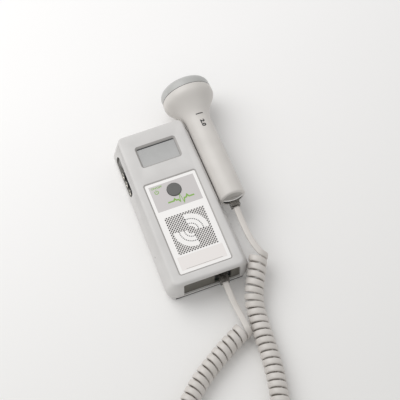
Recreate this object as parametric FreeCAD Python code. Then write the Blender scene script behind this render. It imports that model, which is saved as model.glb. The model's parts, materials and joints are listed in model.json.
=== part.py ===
"""Hand-held fetal heart monitor: a two-shell case with a display, a speaker and side sockets, a probe that
rests in a holder on the case's right side, and a curly cord between them.

Frame, in millimetres: the origin is the middle of the case's rear face, +X to the probe's side, +Y to the
display end, +Z out of the front face. The cord leaves at the -Y end.
"""
import FreeCAD, Part
import math
import os

Vec = FreeCAD.Vector
X_AXIS = Vec(1, 0, 0)
Y_AXIS = Vec(0, 1, 0)
Z_AXIS = Vec(0, 0, 1)
OVER = 0.5                           # how far a cutting tool runs past the face it opens
SAME_LEVEL = 0.001                   # heights closer than this are one level
SMALLEST_FILLET = 0.1

# ---- Case ----
CASE_LENGTH = 142.5
CASE_HEIGHT = 27.5
HALF_WIDTH_CORD_END = 35.6           # at the parting line, the widest level
HALF_WIDTH_DISPLAY_END = 33.4
PARTING_HEIGHT = 9.5                 # where the front and rear shells meet
FRONT_LEAN = 5.6                     # how far the front face's sides stand in from the parting line
FRONT_END_LEAN = 0.6                 # the same at the two ends
REAR_LEAN = 1.6
REAR_END_LEAN = 0.4
CORNER_RADIUS = 9.0                  # corners of the outline, seen from the front
FACE_EDGE_RADIUS = 2.4
REAR_EDGE_RADIUS = 5.5
WALL = 2.2
LIP_HEIGHT = 1.5                     # tongue of the rear shell inside the front shell
LIP_THICKNESS = 0.9
LIP_CLEARANCE = 0.1

# ---- Front face ----
LABEL_WIDTH = 43.4
LABEL_LENGTH = 83.8
LABEL_Y = -20.5                      # centre of the label
LABEL_CORNER = 1.2
LABEL_RECESS = 0.9
LABEL_SLOPE = 1.1                    # how far the recess's outer edge stands out from its floor
LABEL_THICKNESS = 0.35
LABEL_CLEARANCE = 0.15

WINDOW_Y = 47.3                      # centre of the display
WINDOW_WIDTH = 32.4
WINDOW_LENGTH = 17.6
WINDOW_RECESS = 2.0                  # depth of the sloped frame round the window
WINDOW_SLOPE = 1.5                   # how far the frame's outer edge stands out from the window
WINDOW_CORNER = 1.2
LENS_STEP = 1.4                      # from the recess floor to the lens flange
LENS_FLANGE = 1.6
LENS_FLANGE_THICKNESS = 0.8
LENS_CLEARANCE = 0.12
LENS_FRAME_MARGIN = 1.0              # of the block round the window, past the lens flange

BUTTON_RADIUS = 5.8
BUTTON_FROM_LABEL_END = 10.9
BUTTON_HOLE_CLEARANCE = 0.15
BUTTON_PROUD = 0.8                   # above the label
BUTTON_FLANGE = 1.2
BUTTON_FLANGE_THICKNESS = 1.0
BUTTON_STOP_GAP = 0.1
BUTTON_TRAVEL = 0.6
BUTTON_EDGE_RADIUS = 0.5
BUTTON_GUIDE_WALL = 1.2
PLUNGER_RADIUS = 1.7
PLUNGER_SUNK = 0.6                   # how deep the plunger's foot is in the switch
PLUNGER_ROOM = 0.3                   # left under the plunger when the button is down
SWITCH_SIZE = 6.0
SWITCH_HEIGHT = 2.3

SOUND_HOLE_RADIUS = 1.1
SOUND_HOLE_PITCH = 4.6
SOUND_HOLES_ACROSS = 7
SPEAKER_Y = -29.4
SPEAKER_RADIUS = 18.0
SPEAKER_SEAT_RING = 1.2
SPEAKER_SEAT_HEIGHT = 2.5
SPEAKER_CLEARANCE = 0.2
GASKET_THICKNESS = 0.8
GASKET_WIDTH = 2.5
BASKET_FLANGE_THICKNESS = 1.2
BASKET_DEPTH = 7.0
BASKET_FOOT_RADIUS = 12.5
BASKET_WALL = 0.8
MAGNET_RADIUS = 11.5
MAGNET_HEIGHT = 5.0
CONE_THROAT_RADIUS = 5.0
CONE_DEPTH = 4.6
CONE_THICKNESS = 0.4
BOARD_SPEAKER_GAP = 2.0              # between the speaker and the main board

# ---- Main board ----
BOARD_THICKNESS = 1.6
BOARD_TOP = 20.6
BOARD_HALF_WIDTH = 26.5
BOARD_Y_LOW = -9.0
BOARD_Y_HIGH = 61.0
BOARD_CORNER = 3.0
LCD_GLASS_WIDTH = 36.4
LCD_GLASS_LENGTH = 22.0
LCD_GLASS_THICKNESS = 2.0
LCD_FRAME_WALL = 1.4
LCD_FRAME_CLEARANCE = 0.15
LCD_STRIP_HEIGHT = 0.6
LCD_STRIP_WIDTH = 1.8
PROCESSOR_SIZE = 10.0
PROCESSOR_HEIGHT = 1.4
PROCESSOR_PLACE = (-15.0, 0.0)
AMPLIFIER_WIDTH = 5.0
AMPLIFIER_LENGTH = 7.0
AMPLIFIER_HEIGHT = 1.5
AMPLIFIER_PLACE = (15.0, 2.0)
CRYSTAL_LENGTH = 10.0
CRYSTAL_WIDTH = 4.2
CRYSTAL_HEIGHT = 3.2
CRYSTAL_CORNER = 0.8
CRYSTAL_PLACE = (-14.0, 11.0)
CAPACITOR_RADIUS = 2.0
CAPACITOR_HEIGHT = 4.0
CAPACITOR_X = [13.0, 18.0]
CAPACITOR_Y = [12.0, 18.0]

# ---- Sockets and wheel in the left side ----
SIDE_HEIGHT = 15.0                   # centre line of the side sockets above the rear face
SIDE_Y_LOW = 22.4                    # the opening's round ends
SIDE_Y_HIGH = 60.2
SIDE_OPENING = 7.4
SIDE_FRAME_WALL = 1.2                # how far the panel reaches past the opening
SIDE_FRAME_LEDGE = 1.0               # moulded frame round the panel
PANEL_FACE_X = -29.5                 # outer face of the jack panel
PANEL_THICKNESS = 1.3
JACK_PITCH = 8.0
FIRST_JACK_Y = 26.3
JACK_BODY_DEPTH = 12.0
JACK_BODY_WIDTH = 7.4
JACK_BODY_DROP = 3.2                 # body below the socket's centre line
JACK_NECK_RADIUS = 2.9
JACK_NECK_PROUD = 2.9
AUDIO_BORE_RADIUS = 1.8
AUDIO_BORE_DEPTH = 11.0
CHARGER_BORE_RADIUS = 2.3
CHARGER_BORE_DEPTH = 9.0
CHARGER_PIN_RADIUS = 0.7
CHARGER_PIN_SUNK = 1.0               # behind the socket's mouth
PANEL_CLEARANCE = 0.15
WHEEL_RADIUS = 7.0
WHEEL_THICKNESS = 4.6
WHEEL_PROUD = 2.2                    # past the jack panel's face
WHEEL_Y = 54.1
WHEEL_RIBS = 36
WHEEL_RIB_DEPTH = 0.35
WHEEL_GAP = 0.4
WHEEL_TURN_RADIUS = 2.0              # bore of the wheel, on the pot's shaft
POT_RADIUS = 3.3
SHAFT_CLEARANCE = 0.05
WHEEL_SCREW_RADIUS = 0.8
WHEEL_SCREW_HEAD_RADIUS = 2.6
WHEEL_SCREW_HEAD_HEIGHT = 0.9
PINHOLE_RADIUS = 0.6                 # microphone hole in the left wall
PINHOLE_Y = -35.5
PINHOLE_Z = 14.0

# ---- Batteries ----
CELL_RADIUS = 7.2
CELL_LENGTH = 49.5
CELL_NUB_RADIUS = 2.7
CELL_NUB_LENGTH = 1.0
CELL_PITCH = 15.0
CELL_FLOOR_GAP = 0.4
BAY_X = 1.2                          # centre of the battery bay
BAY_FROM_END = 7.25                  # between the bay and the case's display end
BAY_WALL = 1.2
BAY_CLEARANCE = 0.6
TERMINAL_THICKNESS = 0.4
TERMINAL_SIZE = 10.0
SPRING_WIRE = 0.5
SPRING_LENGTH = 2.85                 # pressed between a terminal and its cell
DOOR_THICKNESS = 2.0
DOOR_GAP = 0.2
DOOR_TONGUE = 1.4
DOOR_TONGUE_THICKNESS = 0.8
DOOR_GRIP_COUNT = 6
DOOR_GRIP_PITCH = 2.4
DOOR_GRIP_DEPTH = 0.4
DOOR_GRIP_LENGTH = 16.0
DOOR_GRIP_OFFSET = 8.0

# ---- Cord end ----
END_OPENING_LOW = 4.9
END_OPENING_HIGH = 23.4
END_OPENING_LEFT = -22.0
END_OPENING_RIGHT = 25.7
END_OPENING_CORNER = 1.5
END_PANEL_SETBACK = 2.0
END_PANEL_THICKNESS = 1.4
END_PANEL_MARGIN = 1.6
PLUG_X = 11.5
PLUG_Z = 12.8
MODULAR_JACK_WIDTH = 13.4
MODULAR_JACK_HEIGHT = 12.4
MODULAR_JACK_DEPTH = 16.0
MODULAR_CAVITY_CLEARANCE = 0.15
PLUG_WIDTH = 7.65
PLUG_HEIGHT = 6.2
PLUG_LENGTH = 15.0
PLUG_PROUD = 4.0                     # past the case's end
PLUG_LATCH_WIDTH = 3.2
PLUG_LATCH_THICKNESS = 0.9
PLUG_LATCH_GAP = 1.0
PLUG_LATCH_START = 1.5               # free end of the latch, from the plug's back
PLUG_LATCH_END = 1.0                 # root of the latch, from the plug's nose
PLUG_LATCH_ROOT = 2.0
PLUG_PIN_COUNT = 4
PLUG_PIN_PITCH = 1.02
PLUG_PIN_WIDTH = 0.35
PLUG_PIN_LENGTH = 4.0
PLUG_PIN_HEIGHT = 1.4
PLUG_PIN_FROM_NOSE = 0.6
PLUG_PIN_SUNK = 0.3                  # below the plug's face
JACK_WIRE_RADIUS = 0.23
JACK_WIRE_GAP = 0.08
JACK_WIRE_START = 3.0                # from the jack's face
JACK_WIRE_END_GAP = 0.2
JACK_WIRE_HEIGHT = 0.7               # above the plug
JACK_WIRE_ROOM = 1.2
JACK_BACK_WALL = 2.4
JACK_BOARD_MARGIN = 5.0
JACK_BOARD_THICKNESS = 1.6
JACK_BOARD_LEG_RADIUS = 2.0

# ---- Fasteners ----
CASE_SCREW_X = 24.2
CASE_SCREW_Y_LOW = -61.5
CASE_SCREW_Y_HIGH = 64.9
CASE_SCREW_RADIUS = 1.3
CASE_SCREW_HEAD_RADIUS = 2.4
CASE_SCREW_HEAD_HEIGHT = 1.8
CASE_SCREW_LENGTH = 14.0
CASE_SCREW_SEAT = 1.2                # depth of the head below the rear face
CASE_TOWER_RADIUS = 3.0
CASE_TOWER_FOOT = 6.0                # height of the joint between tower and rear boss
CASE_BOSS_WIDER = 0.6                # rear boss, past the tower that stands on it
BOARD_SCREW_RADIUS = 1.0
BOARD_SCREW_HEAD_RADIUS = 1.9
BOARD_SCREW_HEAD_HEIGHT = 1.3
BOARD_SCREW_LENGTH = 5.5
BOARD_TOWER_RADIUS = 2.5
SCREW_HOLE_CLEARANCE = 0.15
THREAD_CLEARANCE = 0.05
CROSS_SPAN = 1.2                     # cross recess, as shares of its screw's head
CROSS_WIDTH = 0.28
CROSS_DEPTH = 0.6

# ---- Probe ----
PROBE_RADIUS = 10.7
PROBE_AXIS_Z = 23.0
PROBE_GAP = 0.8                      # between the handle and the case's side
PROBE_FOOT_Y = -12.0                 # lower end of the handle
PROBE_HANDLE_LENGTH = 75.0           # straight part
PROBE_FLARE_LENGTH = 17.5
PROBE_COLLAR_STEP = 0.4              # how far the collar stands out of the flare's end
PROBE_COLLAR_LENGTH = 9.5
PROBE_COLLAR_RADIUS = 21.6
PROBE_COLLAR_CHAMFER = 1.5
PROBE_JOINT_STEP = 0.4               # how much narrower the collar is where it meets the cap
PROBE_JOINT_CHAMFER = 2.5            # how far down the collar its end narrows to that
PROBE_CAP_LENGTH = 9.2               # rim of the cap
PROBE_DOME = 3.0                     # crown of its face
PROBE_CAP_EDGE = 5.4
PROBE_WALL = 2.2
PROBE_FOOT_CHAMFER = 1.6
PROBE_SPIGOT_LENGTH = 4.0            # of the cap inside the collar
PROBE_SPIGOT_WALL = 1.8
PROBE_SPIGOT_CLEARANCE = 0.1
SEAL_SECTION = 1.0
SEAL_FROM_END = 1.5
CRYSTAL_DISC_RADIUS = 14.0
CRYSTAL_DISC_THICKNESS = 0.9
CRYSTAL_DISC_GAP = 1.2
BACKING_THICKNESS = 5.0
BACKING_MARGIN = 1.0                 # past the crystals
PROBE_BOARD_WIDTH = 13.0
PROBE_BOARD_LENGTH = 46.0
PROBE_BOARD_START = 22.0             # from the probe's foot
PROBE_JACK_WIDTH = 11.4
PROBE_JACK_HEIGHT = 10.6
PROBE_JACK_DEPTH = 15.0
PROBE_JACK_RECESS = 0.6              # from the probe's foot
PROBE_JACK_DROP = 3.2                # of the plug's axis, below the probe's
PROBE_JACK_FLANGE = 1.5
PROBE_END_LENGTH = 3.0               # end plate over the jack
PROBE_END_EDGE = 0.3                 # its lower edge, above the probe's axis
PROBE_END_CLEARANCE = 0.1
PROBE_BROW_THICKNESS = 0.9           # ledge along the plate's lower edge
PROBE_BROW_REACH = 1.8
PROBE_BROW_HALF_WIDTH = 7.6
PROBE_PLUG_PROUD = 6.5
PROBE_CHIP_SIZE = 6.0
PROBE_CHIP_HEIGHT = 1.2

# ---- Probe holder ----
HOLDER_Y_LOW = 4.0
HOLDER_Y_HIGH = 58.0
HOLDER_ARM_LENGTH = 15.0
HOLDER_THICKNESS = 1.9
HOLDER_CLEARANCE = 0.3
HOLDER_START_ANGLE = 212.0           # round the probe's axis, from +X towards +Z
HOLDER_END_ANGLE = 335.0
HOLDER_PLATE_LOW = 3.2
HOLDER_PLATE_HIGH = 8.9
HOLDER_PLATE_THICKNESS = 1.8
HOLDER_WEB_HIGH = 15.0               # top of the part that joins a hook to the plate
HOLDER_SCREW_RADIUS = 1.1
HOLDER_SCREW_HEAD_RADIUS = 2.0
HOLDER_SCREW_HEAD_HEIGHT = 1.2
HOLDER_SCREW_LENGTH = 4.0
HOLDER_SCREW_GAP = 0.5               # between a head and the leaning wall
HOLDER_HOLE_REACH = 4.0              # of a screw hole, past both faces of the wall

# ---- Cord ----
LEAD_WIDTH = 5.0
LEAD_THICKNESS = 2.5
COIL_DIAMETER = 15.4                 # outside of the curly cord
COIL_LIFT = 0.05                     # clearance to the surface that it lies on
LEAD_POCKET_DEPTH = 5.0              # how far a lead goes into its plug
LEAD_POCKET_CLEARANCE = 0.1
LEAD_BODY_GAP = 0.3                  # between the probe's lead and the plug that moves with the probe
ARC_SHARE = 0.45                     # of a run, taken by the arc at its end


# ---- Helpers ----
def box(x_low, x_high, y_low, y_high, z_low, z_high):
    return Part.makeBox(x_high - x_low, y_high - y_low, z_high - z_low, Vec(x_low, y_low, z_low))


def cylinder(radius, start, axis, length):
    return Part.makeCylinder(radius, length, start, axis)


def upright(radius, x, y, z_low, z_high):
    return Part.makeCylinder(radius, z_high - z_low, Vec(x, y, z_low), Z_AXIS)


def rounded_outline(corners, radius, z):
    """Closed wire through plan corners, each rounded with an arc that touches both sides."""
    edges = []
    starts = []
    ends = []
    count = len(corners)
    for i in range(count):
        here = Vec(corners[i][0], corners[i][1], z)
        before = Vec(corners[i - 1][0], corners[i - 1][1], z) - here
        after = Vec(corners[(i + 1) % count][0], corners[(i + 1) % count][1], z) - here
        before.normalize()
        after.normalize()
        half = before.getAngle(after) / 2
        reach = radius / math.tan(half)
        middle = before + after
        middle.normalize()
        crown = here + middle * (radius / math.sin(half) - radius)
        starts.append(here + before * reach)
        ends.append(here + after * reach)
        edges.append(Part.Arc(starts[i], crown, ends[i]).toShape())
    sides = [Part.LineSegment(ends[i], starts[(i + 1) % count]).toShape() for i in range(count)]
    ordered = []
    for arc, side in zip(edges, sides):
        ordered += [arc, side]
    return Part.Wire(ordered)


def rounded_plate(x_low, x_high, y_low, y_high, radius, z_low, z_high):
    corners = [(x_low, y_low), (x_high, y_low), (x_high, y_high), (x_low, y_high)]
    return Part.Face(rounded_outline(corners, radius, z_low)).extrude(Vec(0, 0, z_high - z_low))


def revolved(profile, base, axis):
    """Solid of revolution from (distance along the axis, radius) points that start and end on the axis."""
    side = X_AXIS if abs(axis.x) < 0.9 else Z_AXIS
    side = side - axis * side.dot(axis)
    side.normalize()
    points = [base + axis * s + side * r for s, r in profile]
    wire = Part.makePolygon(points + [points[0]])
    return Part.Face(wire).revolve(base, axis, 360)


def tube(outer, inner, start, axis, length):
    return cylinder(outer, start, axis, length).cut(cylinder(inner, start, axis, length))


def save(name, shape):
    shape = shape.removeSplitter()
    os.makedirs("parts", exist_ok=True)
    shape.exportStep("parts/" + name + ".step")
    print(name, len(shape.Solids), round(shape.Volume, 1), shape.isValid())


# ---- Case form ----
TAPER = math.atan((HALF_WIDTH_CORD_END - HALF_WIDTH_DISPLAY_END) / CASE_LENGTH)
HALF_LENGTH = CASE_LENGTH / 2
MEAN_HALF_WIDTH = (HALF_WIDTH_CORD_END + HALF_WIDTH_DISPLAY_END) / 2
CAVITY_FLOOR = WALL
CAVITY_ROOF = CASE_HEIGHT - WALL
LABEL_FLOOR = CASE_HEIGHT - LABEL_RECESS
LABEL_TOP = LABEL_FLOOR + LABEL_THICKNESS


def case_outline(side_inset, end_inset, z):
    """Plan outline of the case, set in from the widest one."""
    low = HALF_WIDTH_CORD_END - side_inset
    high = HALF_WIDTH_DISPLAY_END - side_inset
    end = HALF_LENGTH - end_inset
    radius = CORNER_RADIUS - min(side_inset, CORNER_RADIUS / 2)
    return rounded_outline([(-low, -end), (low, -end), (high, end), (-high, end)], radius, z)


def top_edges(shape, z):
    return [edge for edge in shape.Edges if all(abs(vertex.Z - z) < SAME_LEVEL for vertex in edge.Vertexes)]


def front_block(inset):
    """The case above the parting line, or its cavity when set in by the wall."""
    roof = CASE_HEIGHT - inset
    share = (roof - PARTING_HEIGHT) / (CASE_HEIGHT - PARTING_HEIGHT)
    low = case_outline(inset, inset, PARTING_HEIGHT)
    high = case_outline(inset + FRONT_LEAN * share, inset + FRONT_END_LEAN * share, roof)
    block = Part.makeLoft([low, high], True, True)
    radius = FACE_EDGE_RADIUS - inset
    return block.makeFillet(radius, top_edges(block, roof)) if radius > SMALLEST_FILLET else block


def rear_block(inset):
    """The case below the parting line, or its cavity when set in by the wall."""
    share = (PARTING_HEIGHT - inset) / PARTING_HEIGHT
    low = case_outline(inset + REAR_LEAN * share, inset + REAR_END_LEAN * share, inset)
    high = case_outline(inset, inset, PARTING_HEIGHT)
    block = Part.makeLoft([low, high], True, True)
    return block.makeFillet(REAR_EDGE_RADIUS - inset, top_edges(block, inset))


def side_x(y, z):
    """Half width of the case's outer side at a place on it above the parting line."""
    at_parting = MEAN_HALF_WIDTH - y * math.tan(TAPER)
    return at_parting - FRONT_LEAN * (z - PARTING_HEIGHT) / (CASE_HEIGHT - PARTING_HEIGHT)


# ---- Probe placement ----
LEAN_ANGLE = math.atan(FRONT_LEAN / (CASE_HEIGHT - PARTING_HEIGHT))
PROBE_X_AT_ZERO = side_x(0, PROBE_AXIS_Z) + (PROBE_RADIUS + PROBE_GAP) / math.cos(LEAN_ANGLE)
PROBE_AXIS = Vec(-math.sin(TAPER), math.cos(TAPER), 0)
PROBE_SIDE = Vec(math.cos(TAPER), math.sin(TAPER), 0)
PROBE_FOOT = Vec(PROBE_X_AT_ZERO - PROBE_FOOT_Y * math.tan(TAPER), PROBE_FOOT_Y, PROBE_AXIS_Z)
PROBE_FLARE_RADIUS = PROBE_COLLAR_RADIUS - PROBE_COLLAR_STEP
PROBE_JOINT_RADIUS = PROBE_COLLAR_RADIUS - PROBE_JOINT_STEP
PROBE_FLARE_START = PROBE_HANDLE_LENGTH
PROBE_COLLAR_START = PROBE_FLARE_START + PROBE_FLARE_LENGTH
PROBE_JOINT = PROBE_COLLAR_START + PROBE_COLLAR_LENGTH
PROBE_RIM = PROBE_JOINT + PROBE_CAP_LENGTH


def on_probe(across, along, up):
    """Point in the probe's own directions: across to the right, along from its foot, up."""
    return PROBE_FOOT + PROBE_SIDE * across + PROBE_AXIS * along + Z_AXIS * up


def probe_box(across_low, across_high, along_low, along_high, up_low, up_high):
    block = box(across_low, across_high, along_low, along_high, up_low, up_high)
    block.rotate(Vec(0, 0, 0), Z_AXIS, math.degrees(TAPER))
    block.translate(PROBE_FOOT)
    return block


# ---- Positions shared by several pieces ----
BUTTON_Y = LABEL_Y + LABEL_LENGTH / 2 - BUTTON_FROM_LABEL_END
JACK_Y = [FIRST_JACK_Y + JACK_PITCH * i for i in range(3)]
PANEL_BACK_X = PANEL_FACE_X + PANEL_THICKNESS
WHEEL_X = PANEL_FACE_X - WHEEL_PROUD + WHEEL_RADIUS
WHEEL_LOW = SIDE_HEIGHT - WHEEL_THICKNESS / 2
WHEEL_HIGH = SIDE_HEIGHT + WHEEL_THICKNESS / 2
BOARD_BOTTOM = BOARD_TOP - BOARD_THICKNESS
WINDOW_FLOOR = CASE_HEIGHT - WINDOW_RECESS
LENS_SEAT = WINDOW_FLOOR - LENS_STEP
LENS_BACK = LENS_SEAT - LENS_FLANGE_THICKNESS
BUTTON_FLANGE_TOP = CAVITY_ROOF - BUTTON_STOP_GAP
BUTTON_BOTTOM = BUTTON_FLANGE_TOP - BUTTON_FLANGE_THICKNESS
BUTTON_TOP = LABEL_TOP + BUTTON_PROUD
SWITCH_TOP = BOARD_TOP + SWITCH_HEIGHT
GASKET_BOTTOM = CAVITY_ROOF - GASKET_THICKNESS
CELL_X = [BAY_X - CELL_PITCH / 2, BAY_X + CELL_PITCH / 2]
CELL_Z = DOOR_THICKNESS + CELL_FLOOR_GAP + CELL_RADIUS
BAY_HALF_WIDTH = CELL_PITCH / 2 + CELL_RADIUS + BAY_CLEARANCE
BAY_LENGTH = CELL_LENGTH + 2 * (TERMINAL_THICKNESS + SPRING_LENGTH)
BAY_Y_HIGH = HALF_LENGTH - BAY_FROM_END
BAY_Y_LOW = BAY_Y_HIGH - BAY_LENGTH
BAY_ROOF = CELL_Z + CELL_RADIUS + CELL_FLOOR_GAP
CASE_SCREW_PLACES = [(-CASE_SCREW_X, CASE_SCREW_Y_LOW), (CASE_SCREW_X, CASE_SCREW_Y_LOW),
                     (-CASE_SCREW_X, CASE_SCREW_Y_HIGH), (CASE_SCREW_X, CASE_SCREW_Y_HIGH)]
BOARD_SCREW_INSET = 3.0
BOARD_SCREW_X = BOARD_HALF_WIDTH - BOARD_SCREW_INSET
BOARD_SCREW_PLACES = [(-BOARD_SCREW_X, BOARD_Y_LOW + BOARD_SCREW_INSET),
                      (BOARD_SCREW_X, BOARD_Y_LOW + BOARD_SCREW_INSET),
                      (BOARD_SCREW_X, BOARD_Y_HIGH - BOARD_SCREW_INSET),
                      (-BOARD_SCREW_X, FIRST_JACK_Y - JACK_PITCH - BOARD_SCREW_INSET)]
END_PANEL_FACE_Y = -HALF_LENGTH + END_PANEL_SETBACK
PLUG_BACK_Y = -HALF_LENGTH - PLUG_PROUD
PLUNGER_FOOT = SWITCH_TOP - PLUNGER_SUNK
SEAL_ALONG = PROBE_JOINT - PROBE_SPIGOT_LENGTH + SEAL_FROM_END
JACK_BODY_Y = END_PANEL_FACE_Y + END_PANEL_THICKNESS + 2 * PANEL_CLEARANCE
JACK_BODY_BOTTOM = PLUG_Z - MODULAR_JACK_HEIGHT / 2
HOLDER_SCREW_Z = (HOLDER_PLATE_LOW + HOLDER_PLATE_HIGH) / 2
HOLDER_SCREW_Y = [HOLDER_Y_LOW + HOLDER_ARM_LENGTH / 2, HOLDER_Y_HIGH - HOLDER_ARM_LENGTH / 2]


def stadium(y_low, y_high, height, x_low, x_high):
    """Round-ended slot through the left side, along X."""
    r = height / 2
    z = SIDE_HEIGHT
    middle = box(x_low, x_high, y_low + r, y_high - r, z - r, z + r)
    ends = [cylinder(r, Vec(x_low, y, z), X_AXIS, x_high - x_low) for y in (y_low + r, y_high - r)]
    return middle.fuse(ends)


# ---- Front shell ----
def sloped_recess(half_w, half_l, centre_y, corner, slope, floor):
    """Recess in the front face whose walls lean out from its floor."""
    def level(grow, z):
        x = half_w + grow
        low = centre_y - half_l - grow
        high = centre_y + half_l + grow
        return rounded_outline([(-x, low), (x, low), (x, high), (-x, high)], corner + grow, z)
    grown = slope * (CASE_HEIGHT + OVER - floor) / (CASE_HEIGHT - floor)
    return Part.makeLoft([level(0, floor), level(grown, CASE_HEIGHT + OVER)], True, True)


def window_opening(grow, z_low, z_high):
    x = WINDOW_WIDTH / 2 + grow
    y = WINDOW_LENGTH / 2 + grow
    return rounded_plate(-x, x, WINDOW_Y - y, WINDOW_Y + y, WINDOW_CORNER, z_low, z_high)


def sound_holes(z_low, z_high):
    first = -(SOUND_HOLES_ACROSS - 1) / 2
    places = [(first + i, first + j) for i in range(SOUND_HOLES_ACROSS) for j in range(SOUND_HOLES_ACROSS)]
    return [upright(SOUND_HOLE_RADIUS, i * SOUND_HOLE_PITCH, SPEAKER_Y + j * SOUND_HOLE_PITCH, z_low, z_high)
            for i, j in places]


def side_frame():
    """Moulded block in the left wall round the side opening, flat on its inner face."""
    grow = SIDE_FRAME_WALL + PANEL_CLEARANCE + SIDE_FRAME_LEDGE
    low = PARTING_HEIGHT + LIP_CLEARANCE
    high = SIDE_HEIGHT + SIDE_OPENING / 2 + grow
    return box(-HALF_WIDTH_CORD_END, PANEL_BACK_X, SIDE_Y_LOW - grow, SIDE_Y_HIGH + grow, low, high)


def end_opening(y_low, y_high, grow):
    """Rounded rectangle through the cord end, both shells together."""
    left = END_OPENING_LEFT - grow
    right = END_OPENING_RIGHT + grow
    low = END_OPENING_LOW - grow
    high = END_OPENING_HIGH + grow
    plate = rounded_plate(left, right, low, high, END_OPENING_CORNER, 0, y_high - y_low)
    plate.rotate(Vec(0, 0, 0), X_AXIS, 90)
    plate.translate(Vec(0, y_high, 0))
    return plate


def case_towers():
    towers = [upright(CASE_TOWER_RADIUS, x, y, CASE_TOWER_FOOT, CAVITY_ROOF + OVER)
              for x, y in CASE_SCREW_PLACES]
    hole_end = CASE_SCREW_HEAD_HEIGHT + CASE_SCREW_LENGTH + OVER
    holes = [upright(CASE_SCREW_RADIUS, x, y, CASE_TOWER_FOOT - OVER, hole_end) for x, y in CASE_SCREW_PLACES]
    return towers, holes


def board_towers():
    towers = [upright(BOARD_TOWER_RADIUS, x, y, BOARD_TOP, CAVITY_ROOF + OVER) for x, y in BOARD_SCREW_PLACES]
    holes = [upright(BOARD_SCREW_RADIUS, x, y, BOARD_TOP - OVER, BOARD_BOTTOM + BOARD_SCREW_LENGTH)
             for x, y in BOARD_SCREW_PLACES]
    return towers, holes


def pinhole():
    start = Vec(-HALF_WIDTH_CORD_END, PINHOLE_Y, PINHOLE_Z)
    return cylinder(PINHOLE_RADIUS, start, X_AXIS, FRONT_LEAN + WALL)


def front_shell():
    outer = front_block(0)
    shell = outer.cut(front_block(WALL))
    lens_x = WINDOW_WIDTH / 2 + LENS_FLANGE + LENS_FRAME_MARGIN
    lens_y = WINDOW_LENGTH / 2 + LENS_FLANGE + LENS_FRAME_MARGIN
    lens_frame = box(-lens_x, lens_x, WINDOW_Y - lens_y, WINDOW_Y + lens_y, LENS_SEAT, CAVITY_ROOF + OVER)
    guide_height = BUTTON_BOTTOM - BUTTON_TRAVEL
    flange_hole = BUTTON_RADIUS + BUTTON_FLANGE + BUTTON_HOLE_CLEARANCE
    guide = upright(flange_hole + BUTTON_GUIDE_WALL, 0, BUTTON_Y, guide_height, CAVITY_ROOF + OVER)
    seat_outer = SPEAKER_RADIUS + SPEAKER_CLEARANCE + SPEAKER_SEAT_RING
    seat = upright(seat_outer, 0, SPEAKER_Y, CAVITY_ROOF - SPEAKER_SEAT_HEIGHT, CAVITY_ROOF + OVER)
    seat = seat.cut(upright(SPEAKER_RADIUS + SPEAKER_CLEARANCE, 0, SPEAKER_Y, 0, CAVITY_ROOF))
    case_t, case_h = case_towers()
    board_t, board_h = board_towers()
    added = [lens_frame, guide, seat, side_frame().common(outer)] + case_t + board_t
    shell = shell.fuse(added)

    half_w = LABEL_WIDTH / 2 + LABEL_CLEARANCE
    half_l = LABEL_LENGTH / 2 + LABEL_CLEARANCE
    label_seat = sloped_recess(half_w, half_l, LABEL_Y, LABEL_CORNER + LABEL_CLEARANCE, LABEL_SLOPE,
                               LABEL_FLOOR)
    window_recess = sloped_recess(WINDOW_WIDTH / 2, WINDOW_LENGTH / 2, WINDOW_Y, WINDOW_CORNER, WINDOW_SLOPE,
                                  WINDOW_FLOOR)
    cuts = [window_recess, window_opening(0, 0, WINDOW_FLOOR + OVER), label_seat,
            upright(BUTTON_RADIUS + BUTTON_HOLE_CLEARANCE, 0, BUTTON_Y, 0, CASE_HEIGHT + OVER),
            upright(flange_hole, 0, BUTTON_Y, 0, CAVITY_ROOF),
            stadium(SIDE_Y_LOW, SIDE_Y_HIGH, SIDE_OPENING, -HALF_WIDTH_CORD_END - OVER, PANEL_FACE_X + OVER),
            end_opening(-HALF_LENGTH - OVER, END_PANEL_FACE_Y, 0),
            end_panel_block(PANEL_CLEARANCE), panel_block(PANEL_CLEARANCE, 0), pinhole()]
    cuts += sound_holes(CAVITY_ROOF - OVER, LABEL_FLOOR + OVER) + case_h + board_h
    return shell.cut(cuts)


def front_label():
    half_w = LABEL_WIDTH / 2
    half_l = LABEL_LENGTH / 2
    plate = rounded_plate(-half_w, half_w, LABEL_Y - half_l, LABEL_Y + half_l, LABEL_CORNER,
                          LABEL_FLOOR, LABEL_TOP)
    low = LABEL_FLOOR - OVER
    high = LABEL_TOP + OVER
    holes = sound_holes(low, high)
    holes.append(upright(BUTTON_RADIUS + BUTTON_HOLE_CLEARANCE, 0, BUTTON_Y, low, high))
    return plate.cut(holes)


# ---- Rear shell and battery door ----
def door_body(grow, y_low, z_high):
    x = BAY_HALF_WIDTH + grow
    return box(BAY_X - x, BAY_X + x, y_low, HALF_LENGTH + OVER, -OVER, z_high)


def door_tongue(grow, y_low, z_low, z_high):
    x = BAY_HALF_WIDTH + DOOR_TONGUE + grow
    return box(BAY_X - x, BAY_X + x, y_low, HALF_LENGTH + OVER, z_low, z_high)


def battery_door():
    tongue_low = DOOR_THICKNESS - DOOR_TONGUE_THICKNESS
    form = door_body(-DOOR_GAP, BAY_Y_LOW + DOOR_GAP, DOOR_THICKNESS)
    form = form.fuse(door_tongue(-DOOR_GAP, BAY_Y_LOW + DOOR_GAP, tongue_low, DOOR_THICKNESS))
    door = rear_block(0).common(form)
    half = DOOR_GRIP_LENGTH / 2
    first = BAY_Y_LOW + DOOR_GRIP_OFFSET
    starts = [first + i * DOOR_GRIP_PITCH for i in range(DOOR_GRIP_COUNT)]
    grips = [box(BAY_X - half, BAY_X + half, y, y + DOOR_GRIP_PITCH / 2, -OVER, DOOR_GRIP_DEPTH)
             for y in starts]
    return door.cut(grips)


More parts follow.
